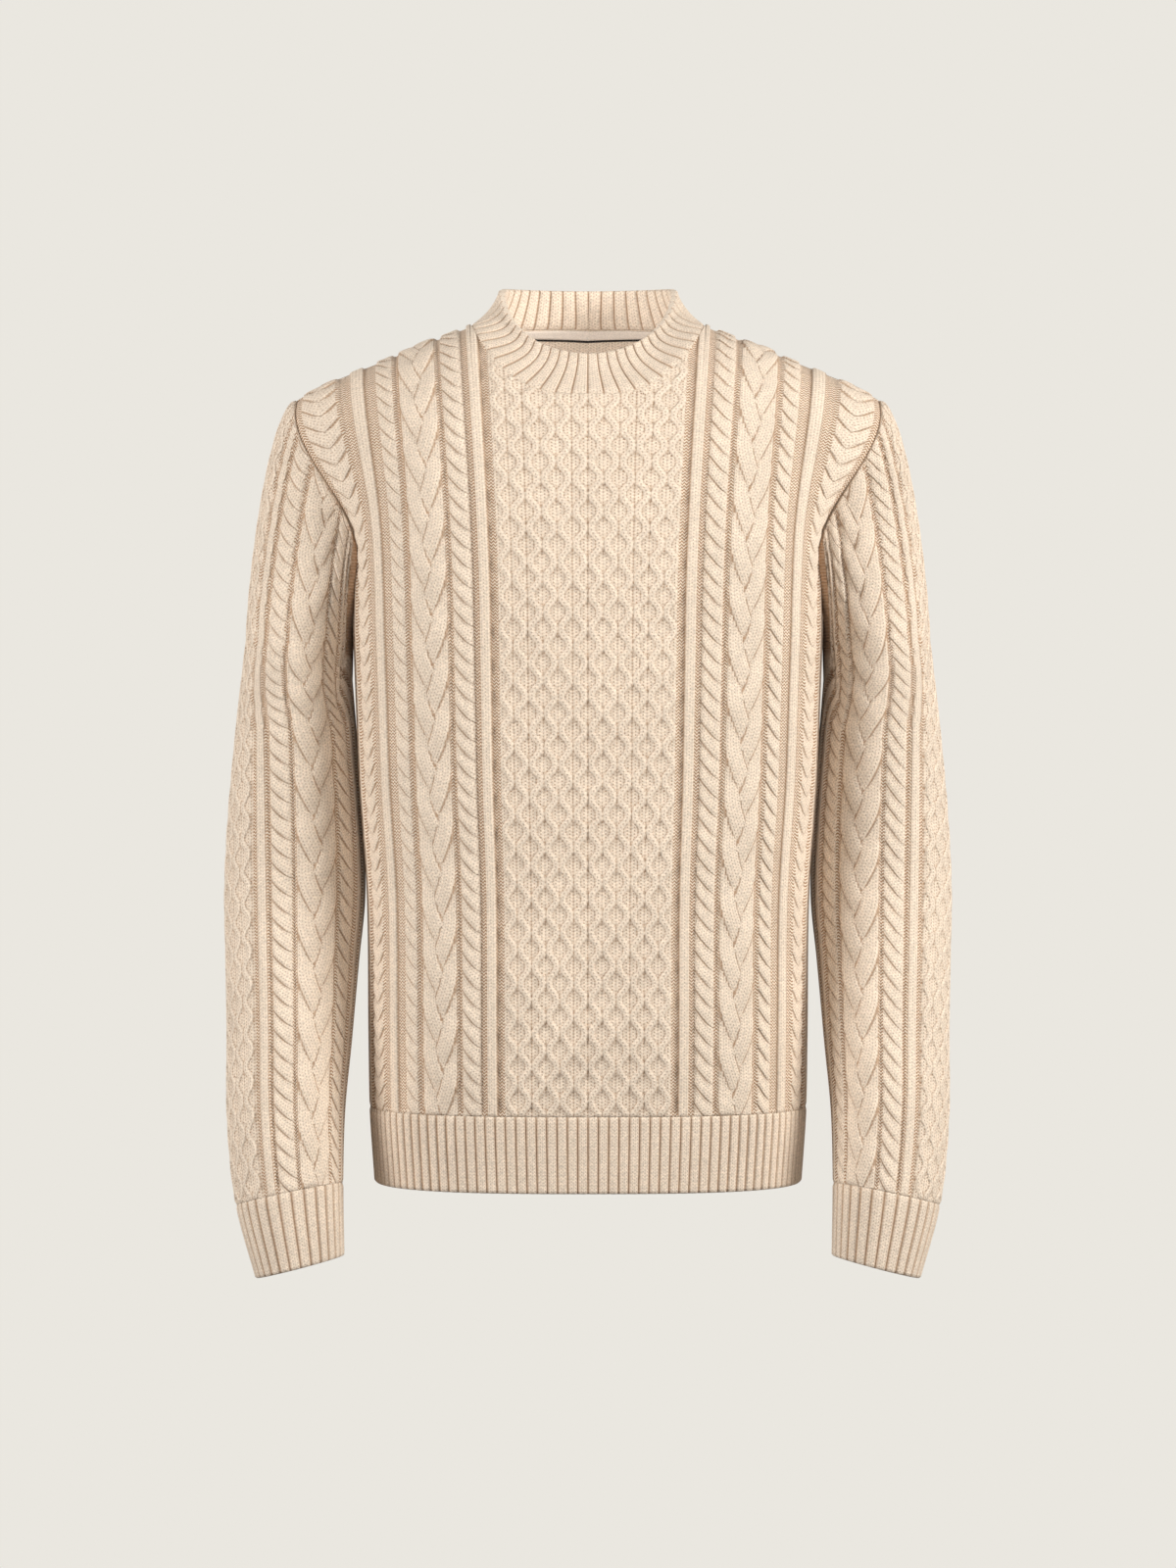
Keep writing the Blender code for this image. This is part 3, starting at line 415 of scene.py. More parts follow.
def straight(value):
    """The same value at every height."""
    return lambda height: value + 0.0 * height


class Rope(Strand):
    """Two strands that twist; the one on top falls to the right (fall 1) or to the left (-1)."""

    def __init__(self, middle, width, fall):
        super().__init__(straight(middle), width / 2, straight(0.9), 4, 1.2, 3.0)
        self.fall = fall

    def crossing(self, across, height):
        """A point's crossing, counted from crease to crease, and how far down it lies, -1 to 1."""
        down = self.fall * (across - self.middle(height)) / self.half
        steep, bow = ROPE_BOW
        return (height + (steep - bow * down) * down * self.half) / ROPE_PITCH, down

    def relief(self, across, height):
        count, down = self.crossing(across, height)
        dip = smoothstep((count % 1 - 0.35) / 0.6) * ROPE_DIP
        crease = (1 - smoothstep(count % 1 / 0.12)) * ROPE_CREASE
        return super().relief(across, height) - (dip + crease) * (1 - 0.7 * smoothstep(down + 0.1))

    def stitch(self, across, height):
        count, down = self.crossing(across, height)
        square = np.cos(np.pi / 4)
        wale = count * ROPE_PITCH * square / WALE
        course = (down * self.half - height) * square / COURSE
        # The four corners of a face have the same nearest crossing.
        corners = count.reshape(4, -1)
        edge = (corners - np.round(corners.mean(axis=0))).ravel() * ROPE_PITCH * square
        # The distance from the nearest crossing sets the painted shade along its crease, which thins
        # towards one side of the rope.
        return wale, course, edge * (1 + 3 * smoothstep(down))


def plait_strands(middle, width):
    """A plait of three strands, and the stitches that lie flat under it."""
    strands = [Strand(straight(middle), width / 2, straight(-0.2), 14, 0.4, 4.0)]
    for third in range(3):
        def turn(height, third=third):
            return 2 * np.pi * (height / (3 * PLAIT_PITCH) + third / 3) + 0.75 * np.pi

        strands.append(
            Strand(
                lambda height, turn=turn: middle + width * PLAIT_SWING * np.cos(turn(height)),
                width * PLAIT_STRAND,
                lambda height, turn=turn: 0.8 - 1.3 * np.sin(2 * turn(height)),
                6,
                1.7,
            )
        )
    return strands


class RingStrand(Strand):
    """A strand of the honeycomb, or the knitting under it, with dots of painted shade where two
    groups meet.
    """

    def __init__(self, group, towards, under, middle, half, crest, drop, squareness):
        super().__init__(middle, half, straight(crest), 2, drop, squareness, dotted=1.0)
        self.group = group
        self.towards = towards
        self.under = under

    def stitch(self, across, height):
        wale, course, _ = super().stitch(across, height)
        off = across - self.group
        side = np.sign(off)
        turn = np.pi * height / RING_HALF
        # Painted shade lies along the line where two groups meet, broader where a ring parts. The
        # knitting under the rings is always partly shaded, and a ring's strand along its edges.
        parted = smoothstep((np.cos(turn - 0.9) * self.towards * side * -1 - 0.5) / 0.4)
        line = side * RING_WIDTH / 2 + 0.5 * np.cos(turn) * self.towards * side
        edge = np.abs(off - line) * (1 - 0.5 * parted)
        limit = 0.7 if self.under else self.half - np.abs(self.lie(across, height)[0]) + 0.35
        return wale, course, np.minimum(edge, limit)


def ring_strands(count):
    """The honeycomb: a strand zigzags over the rest of each group, and neighbours are mirrored."""
    strands = []
    for n in range(-count, count):
        towards = 1 if (n + 1) % 2 else -1
        group = (n + 0.5) * RING_WIDTH

        def sway(height, towards=towards, group=group):
            swing = np.cos(np.pi * height / RING_HALF)
            return group + towards * RING_SWING * swing * (1.2 - 0.2 * swing**2)

        for sign in (-1, 1):
            place = straight(group + sign * RING_WIDTH / 4)
            flat = (place, RING_WIDTH / 4, -0.4, 0.4, 4.0)
            strands.append(RingStrand(group, towards, True, *flat))
        strands.append(RingStrand(group, towards, False, sway, 2.8, 1.2, 1.0, 2.6))
    return strands


def plan_strands(plan):
    """A stitch plan's strands; the plan lists the right half from the middle out."""
    strands = ring_strands(round(plan[0][1] / RING_WIDTH))
    start = plan[0][1]
    for name, width in plan[1:]:
        for sign in (-1, 1):
            middle = sign * (start + width / 2)
            if name == "rib":
                strands.append(Strand(straight(middle), width / 2, straight(0.8), 4, 1.0, 4.0))
            elif name == "rope":
                strands.append(Rope(middle, width, 1))
            elif name == "plait":
                strands += plait_strands(middle, width)
            elif name == "double rope":
                strands.append(Rope(middle - width / 4, width / 2, 1))
                strands.append(Rope(middle + width / 4, width / 2, -1))
        start += width
    return strands


def rib_strands(ribs, around, top):
    pitch = around / ribs
    shape = (0.5 * pitch, straight(top), 5, 1.9, 2.2, 0.0, RIB_MARGIN)
    return [Strand(straight((n + 0.5) * pitch), *shape) for n in range(ribs)]


def raised(strands, across, height):
    """Relief in millimetres of each point, and the strand that it lies on, -1 for the ground."""
    relief = np.full(np.shape(across), GROUND)
    owner = np.full(np.shape(across), -1)
    for n, strand in enumerate(strands):
        near = strand.near(across)
        if near.any():
            here = strand.relief(across[near], height[near])
            above = here > relief[near]
            relief[near] = np.where(above, here, relief[near])
            owner[near] = np.where(above, n, owner[near])
    return relief, owner


def stitches(strands, owner, across, height):
    """Each point's place in wales and courses, distance from an edge, and how dotted that is."""
    wale = across / WALE
    course = height / COURSE
    edge = np.full(np.shape(across), NO_EDGE)
    dotted = np.zeros(np.shape(across))
    level = np.full(np.shape(across), np.inf)
    for n, strand in enumerate(strands):
        mine = owner == n
        if mine.any():
            wale[mine], course[mine], edge[mine] = strand.stitch(across[mine], height[mine])
            dotted[mine] = strand.dotted
            if not isinstance(strand, Rope):
                level[mine] = strand.crest(course[mine] * COURSE)
    # A strand that lies higher casts painted shade onto what lies beside it, near its edge.
    for n, strand in enumerate(strands):
        if isinstance(strand, Rope):
            continue
        beside = (owner != n) & strand.near(across) & np.isfinite(level)
        if beside.any():
            away, along = strand.lie(across[beside], height[beside])
            over = strand.crest(along) - level[beside]
            apart = np.maximum(np.abs(away) - strand.half, 0) + 3 * (1 - smoothstep(over / 0.6))
            edge[beside] = np.minimum(edge[beside], apart)
    return wale, course, edge, dotted


def standing(relief, closed, size=2):
    """Half where a grid's relief is even, less in its hollows, and more where it stands out, for the
    shade painted in hollows.
    """
    mean = relief
    for axis in (0, 1):
        pad = [(0, 0), (0, 0)]
        pad[axis] = (size, size)
        wide = np.pad(mean, pad, mode="wrap" if closed and axis == 0 else "edge")
        total = np.insert(np.cumsum(wide, axis=axis), 0, 0.0, axis=axis)
        span = 2 * size + 1
        count = total.shape[axis]
        above = np.take(total, range(span, count), axis=axis)
        mean = (above - np.take(total, range(count - span), axis=axis)) / span
    return np.clip(0.5 + 0.3 * (relief - mean), 0, 1)


def dressed(strands, side, up, i, j):
    """Each corner's place in the stitches of its face's strand, and 1 at the end for purl."""
    side, up = side[i, j], up[i, j]
    owner = raised(strands, side.mean(axis=0), up.mean(axis=0))[1]
    owner = np.broadcast_to(owner, side.shape)
    lie = [*stitches(strands, owner, side, up), owner < 0]
    return np.stack(lie, axis=2).transpose(1, 0, 2).reshape(-1, 5)


def weave(
    name, cloth, heights, across, strands,
    kept=None, coarse=4, inside=(), free=None, placed=None,
):  # fmt: skip
    """Makes a knitted piece: its raised outer side, its inner side and the rims between them.

    Across is in millimetres, with one more entry than the wales where the piece closes on itself.
    Kept says which quads the piece has, coarse how many rows and wales each inner quad spans,
    inside the strands of a ribbed inner side, free the end, 0 or 1, that is an edge and not a seam,
    and placed where each point lies in the stitch plan, if not at its own place and height.
    """
    wales, rows = heights.shape
    closed = len(across) > wales
    up = heights / MM
    if placed:
        side_at, up_at = placed
    else:
        up_at = np.concatenate([up, up[:1]]) if closed else up
        side_at = across[:, None] + 0 * up_at
    ends = [up, cloth.tops[:, None] / MM - up]
    round_off = 0.0
    if free is not None:
        gone = np.clip(1 - ends.pop(free) / EDGE_REACH, 0, 1)
        round_off = EDGE_ROUND * (1 - np.sqrt(1 - 0.98 * gone**2))
    if not closed:
        side = across[:, None]
        ends += [side - side[0], side[-1] - side]
    faded = smoothstep(np.min(np.broadcast_arrays(*ends), axis=0) / SEAM_FADE)
    places = side_at[:wales], up_at[:wales]
    relief = raised(strands, *places)[0] * faded
    inner_relief = (raised(inside, *places)[0] - GROUND) * faded
    # How far each point stands out, from which the yarn paints shade in the hollows.
    stands = [standing(raise_by, closed) for raise_by in (relief, inner_relief)]
    points, normals = cloth.at(heights)
    outer = points + normals * ((relief - round_off) * MM)[..., None]
    inner = points - normals * (BACKING + (inner_relief - round_off) * MM)[..., None]
    if kept is None:
        kept = np.ones((wales if closed else wales - 1, rows - 1), bool)
    number = np.arange(wales * rows).reshape(wales, rows)

    def quads(step):
        i, j = [place * step for place in np.nonzero(kept[::step, ::step])]
        corners = np.stack([i, i + step, i + step, i]), np.stack([j, j, j + step, j + step])
        return corners, number[corners[0] % wales, corners[1]].T

    corners, face = quads(1)
    faces = [face]
    dress = [dressed(strands, side_at, up_at, *corners)]
    corners, face = quads(coarse)
    faces.append(face[:, ::-1] + wales * rows)
    dress.append(dressed(inside, side_at, up_at, *[corner[::-1] for corner in corners]))
    if not inside:
        dress[-1][:, 4] = REVERSE

    # Each rim face joins one inner edge to the outer edges that run along it.
    edges = {}
    for quad in face:
        for k, start in enumerate(quad):
            end = quad[(k + 1) % 4]
            if (end, start) in edges:
                del edges[(end, start)]
            else:
                edges[(start, end)] = k
    rims = []
    for (start, end), k in edges.items():
        one = rows if k % 2 == 0 else 1
        turn = one if k in (0, 1) else -one
        run = [(start + n * turn) % (wales * rows) for n in range(coarse + 1)]
        rims.append([*run[::-1], start + wales * rows, end + wales * rows])
    faces.append(np.array(rims, int).reshape(-1, coarse + 3))
    dress.append(np.tile([0.5, 0.0, NO_EDGE, 0.0, 0.0], (faces[-1].size, 1)))
    points = np.concatenate([outer.reshape(-1, 3), inner.reshape(-1, 3)])
    return mesh_object(name, points, faces, np.concatenate(dress), np.concatenate(stands).ravel())


def mesh_object(name, points, faces, dress, stands):
    """A mesh of blocks of faces, with UV maps from dress, a row for each corner, and from stands.

    A row holds wale, course, distance from a strand's edge, how dotted that is, and how purl.
    """
    used = np.unique(np.concatenate([block.ravel() for block in faces]))
    renumber = np.zeros(len(points), int)
    renumber[used] = np.arange(len(used))
    loops = np.concatenate([renumber[block].ravel() for block in faces])
    totals = np.concatenate([np.full(len(block), block.shape[1]) for block in faces])
    mesh = bpy.data.meshes.new(name)
    mesh.vertices.add(len(used))
    mesh.vertices.foreach_set("co", points[used].astype(np.float32).ravel())
    mesh.loops.add(len(loops))
    mesh.loops.foreach_set("vertex_index", loops.astype(np.int32))
    mesh.polygons.add(len(totals))
    starts = np.cumsum(totals) - totals
    mesh.polygons.foreach_set("loop_start", starts.astype(np.int32))
    mesh.polygons.foreach_set("loop_total", totals.astype(np.int32))
    mesh.update(calc_edges=True)
    wale, course, edge, dotted, purl = dress.T
    layers = {"stitch": (wale, course), "mask": (purl, stands[used][loops]), "edge": (edge, dotted)}
    for layer, pair in layers.items():
        values = np.stack(pair, axis=1).astype(np.float32)
        mesh.uv_layers.new(name=layer).data.foreach_set("uv", values.ravel())
    # Flat rims, the last block of faces, keep the shading even up to a seam.
    mesh.polygons.foreach_set("use_smooth", np.arange(len(totals)) < len(totals) - len(faces[-1]))
    obj = bpy.data.objects.new(name, mesh)
    bpy.context.scene.collection.objects.link(obj)
    return obj


def panel(name, side):
    """The front (side -1) or back (side 1). Over the armholes' curve it has rows of its own."""
    # From the middle to the side, the wales are closest where the neck's edge is steepest.
    near = 4 * MM
    places = (0, NECK_ACROSS - near, NECK_ACROSS + near, ARMHOLE_ACROSS, SIDE_ACROSS)
    half = np.interp(np.arange(143), (0, 38, 50, 114, 142), places)
    across = np.concatenate([-half[:0:-1], half])
    cloth = body_cloth(side, across)
    lower, upper = 220, 124
    turn_level = UNDERARM + ARMHOLE_CURVE
    shoulder = np.abs(across) < ARMHOLE_ACROSS + HAIR
    turns = [cloth.height_at_level(n, turn_level) for n in range(len(across))]
    turns = np.where(shoulder, turns, cloth.tops)[:, None]
    low = turns * np.arange(lower + 1) / lower
    high = turns + (cloth.tops[:, None] - turns) * (np.arange(1, upper + 1) / upper)
    heights = np.concatenate([low, high], axis=1)
    whole = shoulder[:-1] & shoulder[1:]
    kept = (np.arange(lower + upper) < lower) | whole[:, None]
    return weave(name, cloth, heights, across / MM, plan_strands(BODY_PLAN), kept=kept)


class Seam:
    """An edge that another piece is sewn to, in order, with the direction that leads off it.

    A hinged seam is edge to edge at its start, and turns so that its end lies face to face.
    """

    def __init__(self, outer, inner, turned=False, hinged=False):
        lengths = np.cumsum(np.linalg.norm(np.diff(outer, axis=0), axis=1))
        self.length = lengths[-1]
        self.share = np.concatenate([[0.0], lengths]) / self.length
        wall = unit(outer - inner)
        run = np.gradient(outer, axis=0)
        run[[0, -1]] *= (0.0, 1.0, 0.0)
        off = unit(np.cross(wall, run)) * (-1 if turned else 1)
        late = smoothstep((self.share - HINGE_HELD) / (1 - HINGE_HELD))
        opened = hinged * np.radians(HINGE_START + (HINGE_END - HINGE_START) * late)[:, None]
        self.away = off * np.cos(opened) + wall * np.sin(opened)
        self.outer = outer + GAP * (off * np.cos(opened / 2) + wall * np.sin(opened / 2))

    def at(self, share):
        return along(self.outer, self.share, share), unit(along(self.away, self.share, share))


def meeting(seams, in_front, share):
    """Where wales meet the front's seam or the back's, and the directions that lead off it."""
    front, back = [seam.at(share) for seam in seams]
    return [np.where(in_front[:, None], *pair) for pair in zip(front, back)]


def along(line, shares, at):
    return np.stack([np.interp(at, shares, line[:, axis]) for axis in range(3)], axis=-1)


def panel_edges(side):
    """The neck and armhole edges of a panel's wall, as pairs of outer and inner lines."""
    right_half = np.linspace(0, NECK_ACROSS, 61)
    neck = body_cloth(side, np.concatenate([-right_half[:0:-1], right_half]))
    edges = {"neck": [ends[:, 0] for ends in neck.at(neck.tops[:, None])]}
    turn = np.linspace(0.04, np.pi / 2, 40)
    below = ARMHOLE_ACROSS + (SIDE_ACROSS - ARMHOLE_ACROSS) * (1 - np.cos(turn))
    for name, sign in (("left arm", -1), ("right arm", 1)):
        upright = body_cloth(side, np.array([sign * ARMHOLE_ACROSS]))
        turn_height = upright.height_at_level(0, UNDERARM + ARMHOLE_CURVE)
        heights = np.linspace(upright.tops[0], turn_height, 60)[None]
        curve = body_cloth(side, sign * below)
        both = zip(upright.at(heights), curve.at(curve.tops[:, None]))
        edges[name] = [np.concatenate([first[0], last[:, 0]]) for first, last in both]
    for name, (outer, normal) in edges.items():
        edges[name] = [outer, outer - BACKING * normal]
        for line in edges[name]:
            line[:, 1] = side * np.maximum(side * line[:, 1], GAP / 2)
    return edges


def around_ellipse(share, wide, deep, turn):
    """The angle at a share of half the way round an ellipse, from an angle of turn, by length."""
    skew = (deep - wide) / (deep + wide)
    target = np.pi * share + turn + skew / 2 * np.sin(2 * turn)
    angle = target
    for _ in range(5):
        angle = target - skew / 2 * np.sin(2 * angle)
    return angle


def sleeve_ring(hand, forwards, level):
    """Points round a sleeve, and its axis there. Forwards is measured from its outermost line."""
    outer, inner, y, deep, *degrees = [read(SLEEVE, n, level) for n in range(1, 8)]
    turn, lean_in, lean_forwards = np.radians(degrees)
    centre = np.stack([(outer + inner) / 2 * hand, y, level], axis=-1)
    lean = [hand * np.tan(lean_in), np.tan(lean_forwards), np.ones_like(y)]
    axis = unit(np.stack(lean, axis=-1))
    outwards = np.array([hand, 0.0, 0.0])
    outwards = unit(outwards - axis * (axis @ outwards)[..., None])
    front = np.cross(axis, outwards) * -hand
    wide = (outer - inner) / 2
    angle = around_ellipse(forwards / SLEEVE_ACROSS, wide, deep, turn)
    reach = outwards * (wide * np.cos(angle))[..., None] + front * (deep * np.sin(angle))[..., None]
    return centre + reach, axis


def sleeve_axis(hand, level):
    return sleeve_ring(hand, np.zeros(1), np.full(1, level))[1][0]


def sleeve_path(hand, seams, low=110, high=90):
    """Wales of a sleeve (hand 1 for the wearer's left), low points to the cap and high over it."""

    def path(across):
        forwards = (SLEEVE_ACROSS - hand * across) % (2 * SLEEVE_ACROSS) - SLEEVE_ACROSS
        share = np.abs(forwards) / SLEEVE_ACROSS
        cap_level = SLEEVE[-1, 0] - CAP_DIP * share**2
        level = CUFF_SEAM + (cap_level - CUFF_SEAM)[:, None] * np.linspace(0, 1, low)
        tube, axis = sleeve_ring(hand, forwards[:, None], level)
        start = tube[:, -1]
        place = share - CAP_SHIFT * np.sin(2 * np.pi * share)
        end, away = meeting(seams, forwards >= 0, place)
        reach = np.linalg.norm(start - end, axis=1, keepdims=True)
        leave = (axis[:, -1] * CAP_LEAVE * reach)[:, None]
        arrive = (-away * CAP_ARRIVE * reach)[:, None]
        part = np.linspace(0, 1, high)[None, 1:, None]
        cap = hermite(start[:, None], leave, end[:, None], arrive, part)
        return np.concatenate([tube, cap], axis=1)

    return path


def plan_places(cloth, hand, heights, across):
    """Where a sleeve's points lie in its stitch plan, which runs straight up over the cap."""
    points = cloth.at(heights)[0]
    x, z = hand * points[..., 0], points[..., 2]
    outermost = len(heights) // 2
    line = cloth.points[outermost]
    outer_x = np.interp(z, line[:, 2], hand * line[:, 0])
    rise = np.interp(z, line[:, 2], cloth.heights[outermost]) / MM
    _, outer_side, inner_side, _, deep = SLEEVE[-1, :5]
    wide = (outer_side - inner_side) / 2
    skew = (deep - wide) / (deep + wide)
    angle = np.arccos(np.clip(1 - (outer_x - x) / wide, -1, 1))
    share = (angle + skew / 2 * np.sin(2 * angle)) / np.pi
    own = across[:-1, None] / MM
    straight_up = np.where(own < 0, -1, 1) * share * SLEEVE_ACROSS / MM
    blend = smoothstep((z - CAP_PLAN[0]) / (CAP_PLAN[1] - CAP_PLAN[0]))
    side = own + (straight_up - own) * blend
    up = heights / MM
    up = up + (rise - up) * blend
    return np.concatenate([side, -side[:1]]), np.concatenate([up, up[:1]])


def sleeve(name, hand, seams):
    wales, rows = 184, 348
    across = np.linspace(-SLEEVE_ACROSS, SLEEVE_ACROSS, wales + 1)
    cloth = Cloth(sleeve_path(hand, seams), across[:-1])
    cloth.square_end(0, sleeve_axis(hand, CUFF_SEAM))
    heights = cloth.tops[:, None] * np.arange(rows + 1) / rows
    placed = plan_places(cloth, hand, heights, across)
    strands = plan_strands(SLEEVE_PLAN)
    return weave(name, cloth, heights, across / MM, strands, placed=placed)


def ribbed(name, path, ribs, around, axes, free, top=1.0, samples=8, rows=22):
    """A ring with ribs on both its sides, and its path by shares of the way round it.

    Axes are the ends that lie flat, with the line each is square to; free is the end with no seam.
    """
    wales = ribs * samples
    cloth = Cloth(path, np.arange(wales) / wales, 0.002)
    for end, axis in axes:
        cloth.square_end(end, axis)
    share = 0.5 - 0.5 * np.cos(np.pi * np.linspace(0, 1, rows + 1))
    share = 0.6 * share + 0.4 * np.linspace(0, 1, rows + 1)
    heights = cloth.tops[:, None] * share
    across = np.linspace(0, around / MM, wales + 1)
    outside = rib_strands(ribs, around / MM, top)
    within = rib_strands(ribs, around / MM, GROUND + 1.4)
    return weave(name, cloth, heights, across, outside, coarse=1, inside=within, free=free)


def cuff(name, hand):
    def path(around):
        across = around[:, None] * 2 * SLEEVE_ACROSS
        level = np.linspace(CUFF_EDGE, CUFF_SEAM - GAP, 40) + 0 * across
        return sleeve_ring(hand, -hand * across, level)[0]

    axes = [(end, sleeve_axis(hand, level)) for end, level in ((0, CUFF_EDGE), (-1, CUFF_SEAM))]
    return ribbed(name, path, CUFF_RIBS, CUFF_RIBS * CUFF_RIB_PITCH, axes, 0)


def hem():
    def path(around):
        around = around[:, None] % 1.0
        is_front = around < 0.5
        across = 4 * (around % 0.5) - 1
        level = np.linspace(HEM_EDGE, HEM_SEAM - GAP, 40)
        (x, front), (_, back) = [body_ring(side, np.abs(across), level) for side in (-1, 1)]
        x = x * np.sign(across) * np.where(is_front, 1.0, -1.0)
        return np.stack([x, np.where(is_front, -front, back), level + 0 * x], axis=2)

    axes = [(end, np.array([0.0, 0.0, 1.0])) for end in (0, -1)]
    return ribbed("hem_rib_knit", path, HEM_RIBS, 4 * SIDE_ACROSS, axes, 0, samples=7, rows=20)


def neckband(seams):
    around = sum(seam.length for seam in seams)
    front_share = seams[0].length / around

    def path(around):
        around = around % 1.0
        is_front = around < front_share
        share = np.where(is_front, around / front_share, (around - front_share) / (1 - front_share))
        start, away = meeting(seams, is_front, share)
        angle = np.pi * (share + np.where(is_front, 1.0, 0.0))
        x = BAND_HALF * np.cos(angle)
        y = np.where(is_front, BAND_FRONT, BAND_BACK) * np.sin(angle)
        z = BAND_SIDE_HEIGHT + BAND_TILT * y - BAND_SAG * (np.hypot(y, BAND_ROUND) - BAND_ROUND)
        end = np.stack([x, y, z], axis=1)
        reach = np.linalg.norm(end - start, axis=1, keepdims=True)
        lean = [-BAND_FLARE * np.cos(angle), -BAND_FLARE * np.sin(angle), np.ones_like(x)]
        leave = (away * BAND_LEAVE * reach)[:, None]
        arrive = (unit(np.stack(lean, axis=1)) * reach)[:, None]
        part = np.linspace(0, 1, 40)[None, :, None]
        return hermite(start[:, None], leave, end[:, None], arrive, part)

    return ribbed("neckband_knit", path, BAND_RIBS, around, (), 1, top=1.2, samples=9, rows=18)


def tape(name, top, bottom):
    """A strip on the inside of the back, between two distances below the neck seam."""
    across = np.linspace(-NECK_ACROSS, NECK_ACROSS, 97)
    cloth = body_cloth(1, across)
    share = np.linspace(0, 1, 5)
    heights = cloth.tops[:, None] - bottom + (bottom - top) * share
    points, normals = cloth.at(heights)
    number = np.arange(points.size // 3).reshape(points.shape[:2])
    lift = BACKING + TAPE_LIFT
    layers = [points - normals * depth for depth in (lift, lift + TAPE_THICKNESS)]
    corners = [number[:-1, :-1], number[1:, :-1], number[1:, 1:], number[:-1, 1:]]
    near = np.stack([corner.ravel() for corner in corners], axis=1)
    far = near[:, ::-1] + number.size
    loop = np.concatenate([number[:, 0], number[-1, 1:], number[-2::-1, -1], number[0, -2::-1]])
    rim = np.stack([loop[1:], loop[:-1], loop[:-1] + number.size, loop[1:] + number.size], axis=1)
    faces = [near, far, rim]
    down = np.tile(share * (bottom - top), len(across))
    place = np.stack([np.repeat(across, len(share)), down], axis=1) / MM
    place = np.concatenate([place[block.ravel() % number.size] for block in faces])
    dress = np.concatenate([place, np.ones((len(place), 3))], axis=1)
    points = np.concatenate([layer.reshape(-1, 3) for layer in layers])
    return mesh_object(name, points, faces, dress, np.ones(len(points)))


class Nodes:
    """Adds nodes to a tree."""

    def __init__(self, tree):
        self.tree = tree

    def add(self, kind, inputs=(), **settings):
        """A new node, with its first inputs set to values or joined to sockets."""
        node = self.tree.nodes.new(kind)
        for name, value in settings.items():
            setattr(node, name, value)
        for socket, value in zip(node.inputs, inputs):
            self.put(socket, value)
        return node

    def put(self, socket, value):
        if hasattr(value, "links"):
            self.tree.links.new(value, socket)
        else:
            socket.default_value = value

    def math(self, operation, *values, clamp=False):
        return self.add("ShaderNodeMath", values, operation=operation, use_clamp=clamp).outputs[0]

    def product(self, *values):
        return self.math("MULTIPLY", *values)

    def linear(self, value, factor, more, clamp=False):
        return self.math("MULTIPLY_ADD", value, factor, more, clamp=clamp)

    def mix(self, factor, first, second, kind="FLOAT"):
        mixed = self.add("ShaderNodeMix", data_type=kind, clamp_factor=True)
        pair, result = (2, 0) if kind == "FLOAT" else (6, 2)
        for n, value in ((0, factor), (pair, first), (pair + 1, second)):
            self.put(mixed.inputs[n], value)
        return mixed.outputs[result]

    def scaled(self, colour, factor):
        node = self.add("ShaderNodeVectorMath", (colour,), operation="SCALE")
        self.put(node.inputs["Scale"], factor)
        return node.outputs[0]

    def noise(self, vector, scale, detail=2.0, roughness=0.5, output=0):
        node = self.add("ShaderNodeTexNoise")
        inputs = {"Vector": vector, "Scale": scale, "Detail": detail, "Roughness": roughness}
        for name, value in inputs.items():
            self.put(node.inputs[name], value)
        return node.outputs[output]

    def ramp(self, value, low, high, start=0.0, end=1.0):
        inputs = (value, low, high, start, end)
        return self.add("ShaderNodeMapRange", inputs, interpolation_type="SMOOTHSTEP").outputs[0]

    def uv(self, name):
        return self.add("ShaderNodeUVMap", uv_map=name).outputs[0]

    def split(self, vector):
        return self.add("ShaderNodeSeparateXYZ", (vector,)).outputs[:2]


def stitch_group():
    """The height of the yarn in knit and purl stitches, from 0 to 1."""
    tree = bpy.data.node_groups.new("stitches", "ShaderNodeTree")
    face = tree.interface
    face.new_socket("Wale and course", in_out="INPUT", socket_type="NodeSocketVector")
    face.new_socket("Purl", in_out="INPUT", socket_type="NodeSocketFloat")
    face.new_socket("Height", in_out="OUTPUT", socket_type="NodeSocketFloat")
    make = Nodes(tree)
    inputs = make.add("NodeGroupInput")
    outputs = make.add("NodeGroupOutput")
    wale, course = make.split(inputs.outputs["Wale and course"])
    # A knit stitch is a V of two legs: fold each wale at its middle and slant the courses. Dots of
    # shade lie between the wales, one to a course.
    turn = make.product(course, 2 * np.pi)
    fold = make.math("ABSOLUTE", make.math("SUBTRACT", make.math("FRACT", wale), 0.5))
    leg = make.math("COSINE", make.linear(fold, -2 * np.pi, turn))
    legs = make.linear(leg, 0.14, 0.86)
    swap = make.math("COSINE", make.product(wale, np.pi))
    dot = make.ramp(make.product(swap, make.math("COSINE", turn)), -0.5, 0.9)
    dots = make.product(make.product(make.ramp(fold, 0.22, 0.42), dot), 0.8)
    knit = make.math("SUBTRACT", legs, dots, clamp=True)
    # Purl stitches lie in chevrons, each one and a half wales wide.
    pair = make.math("COSINE", make.product(wale, 4 / 3 * np.pi))
    purl = make.linear(make.math("COSINE", make.linear(pair, 1.9, turn)), 0.5, 0.5)
    make.put(outputs.inputs["Height"], make.mix(inputs.outputs["Purl"], knit, purl))
    return tree


def new_material(name, values):
    """A material, a maker of its nodes, and its shader with inputs set by name."""
    material = bpy.data.materials.new(name)
    material.use_nodes = True
    shader = material.node_tree.nodes["Principled BSDF"]
    for key, value in values.items():
        shader.inputs[key].default_value = value
    return material, Nodes(material.node_tree), shader


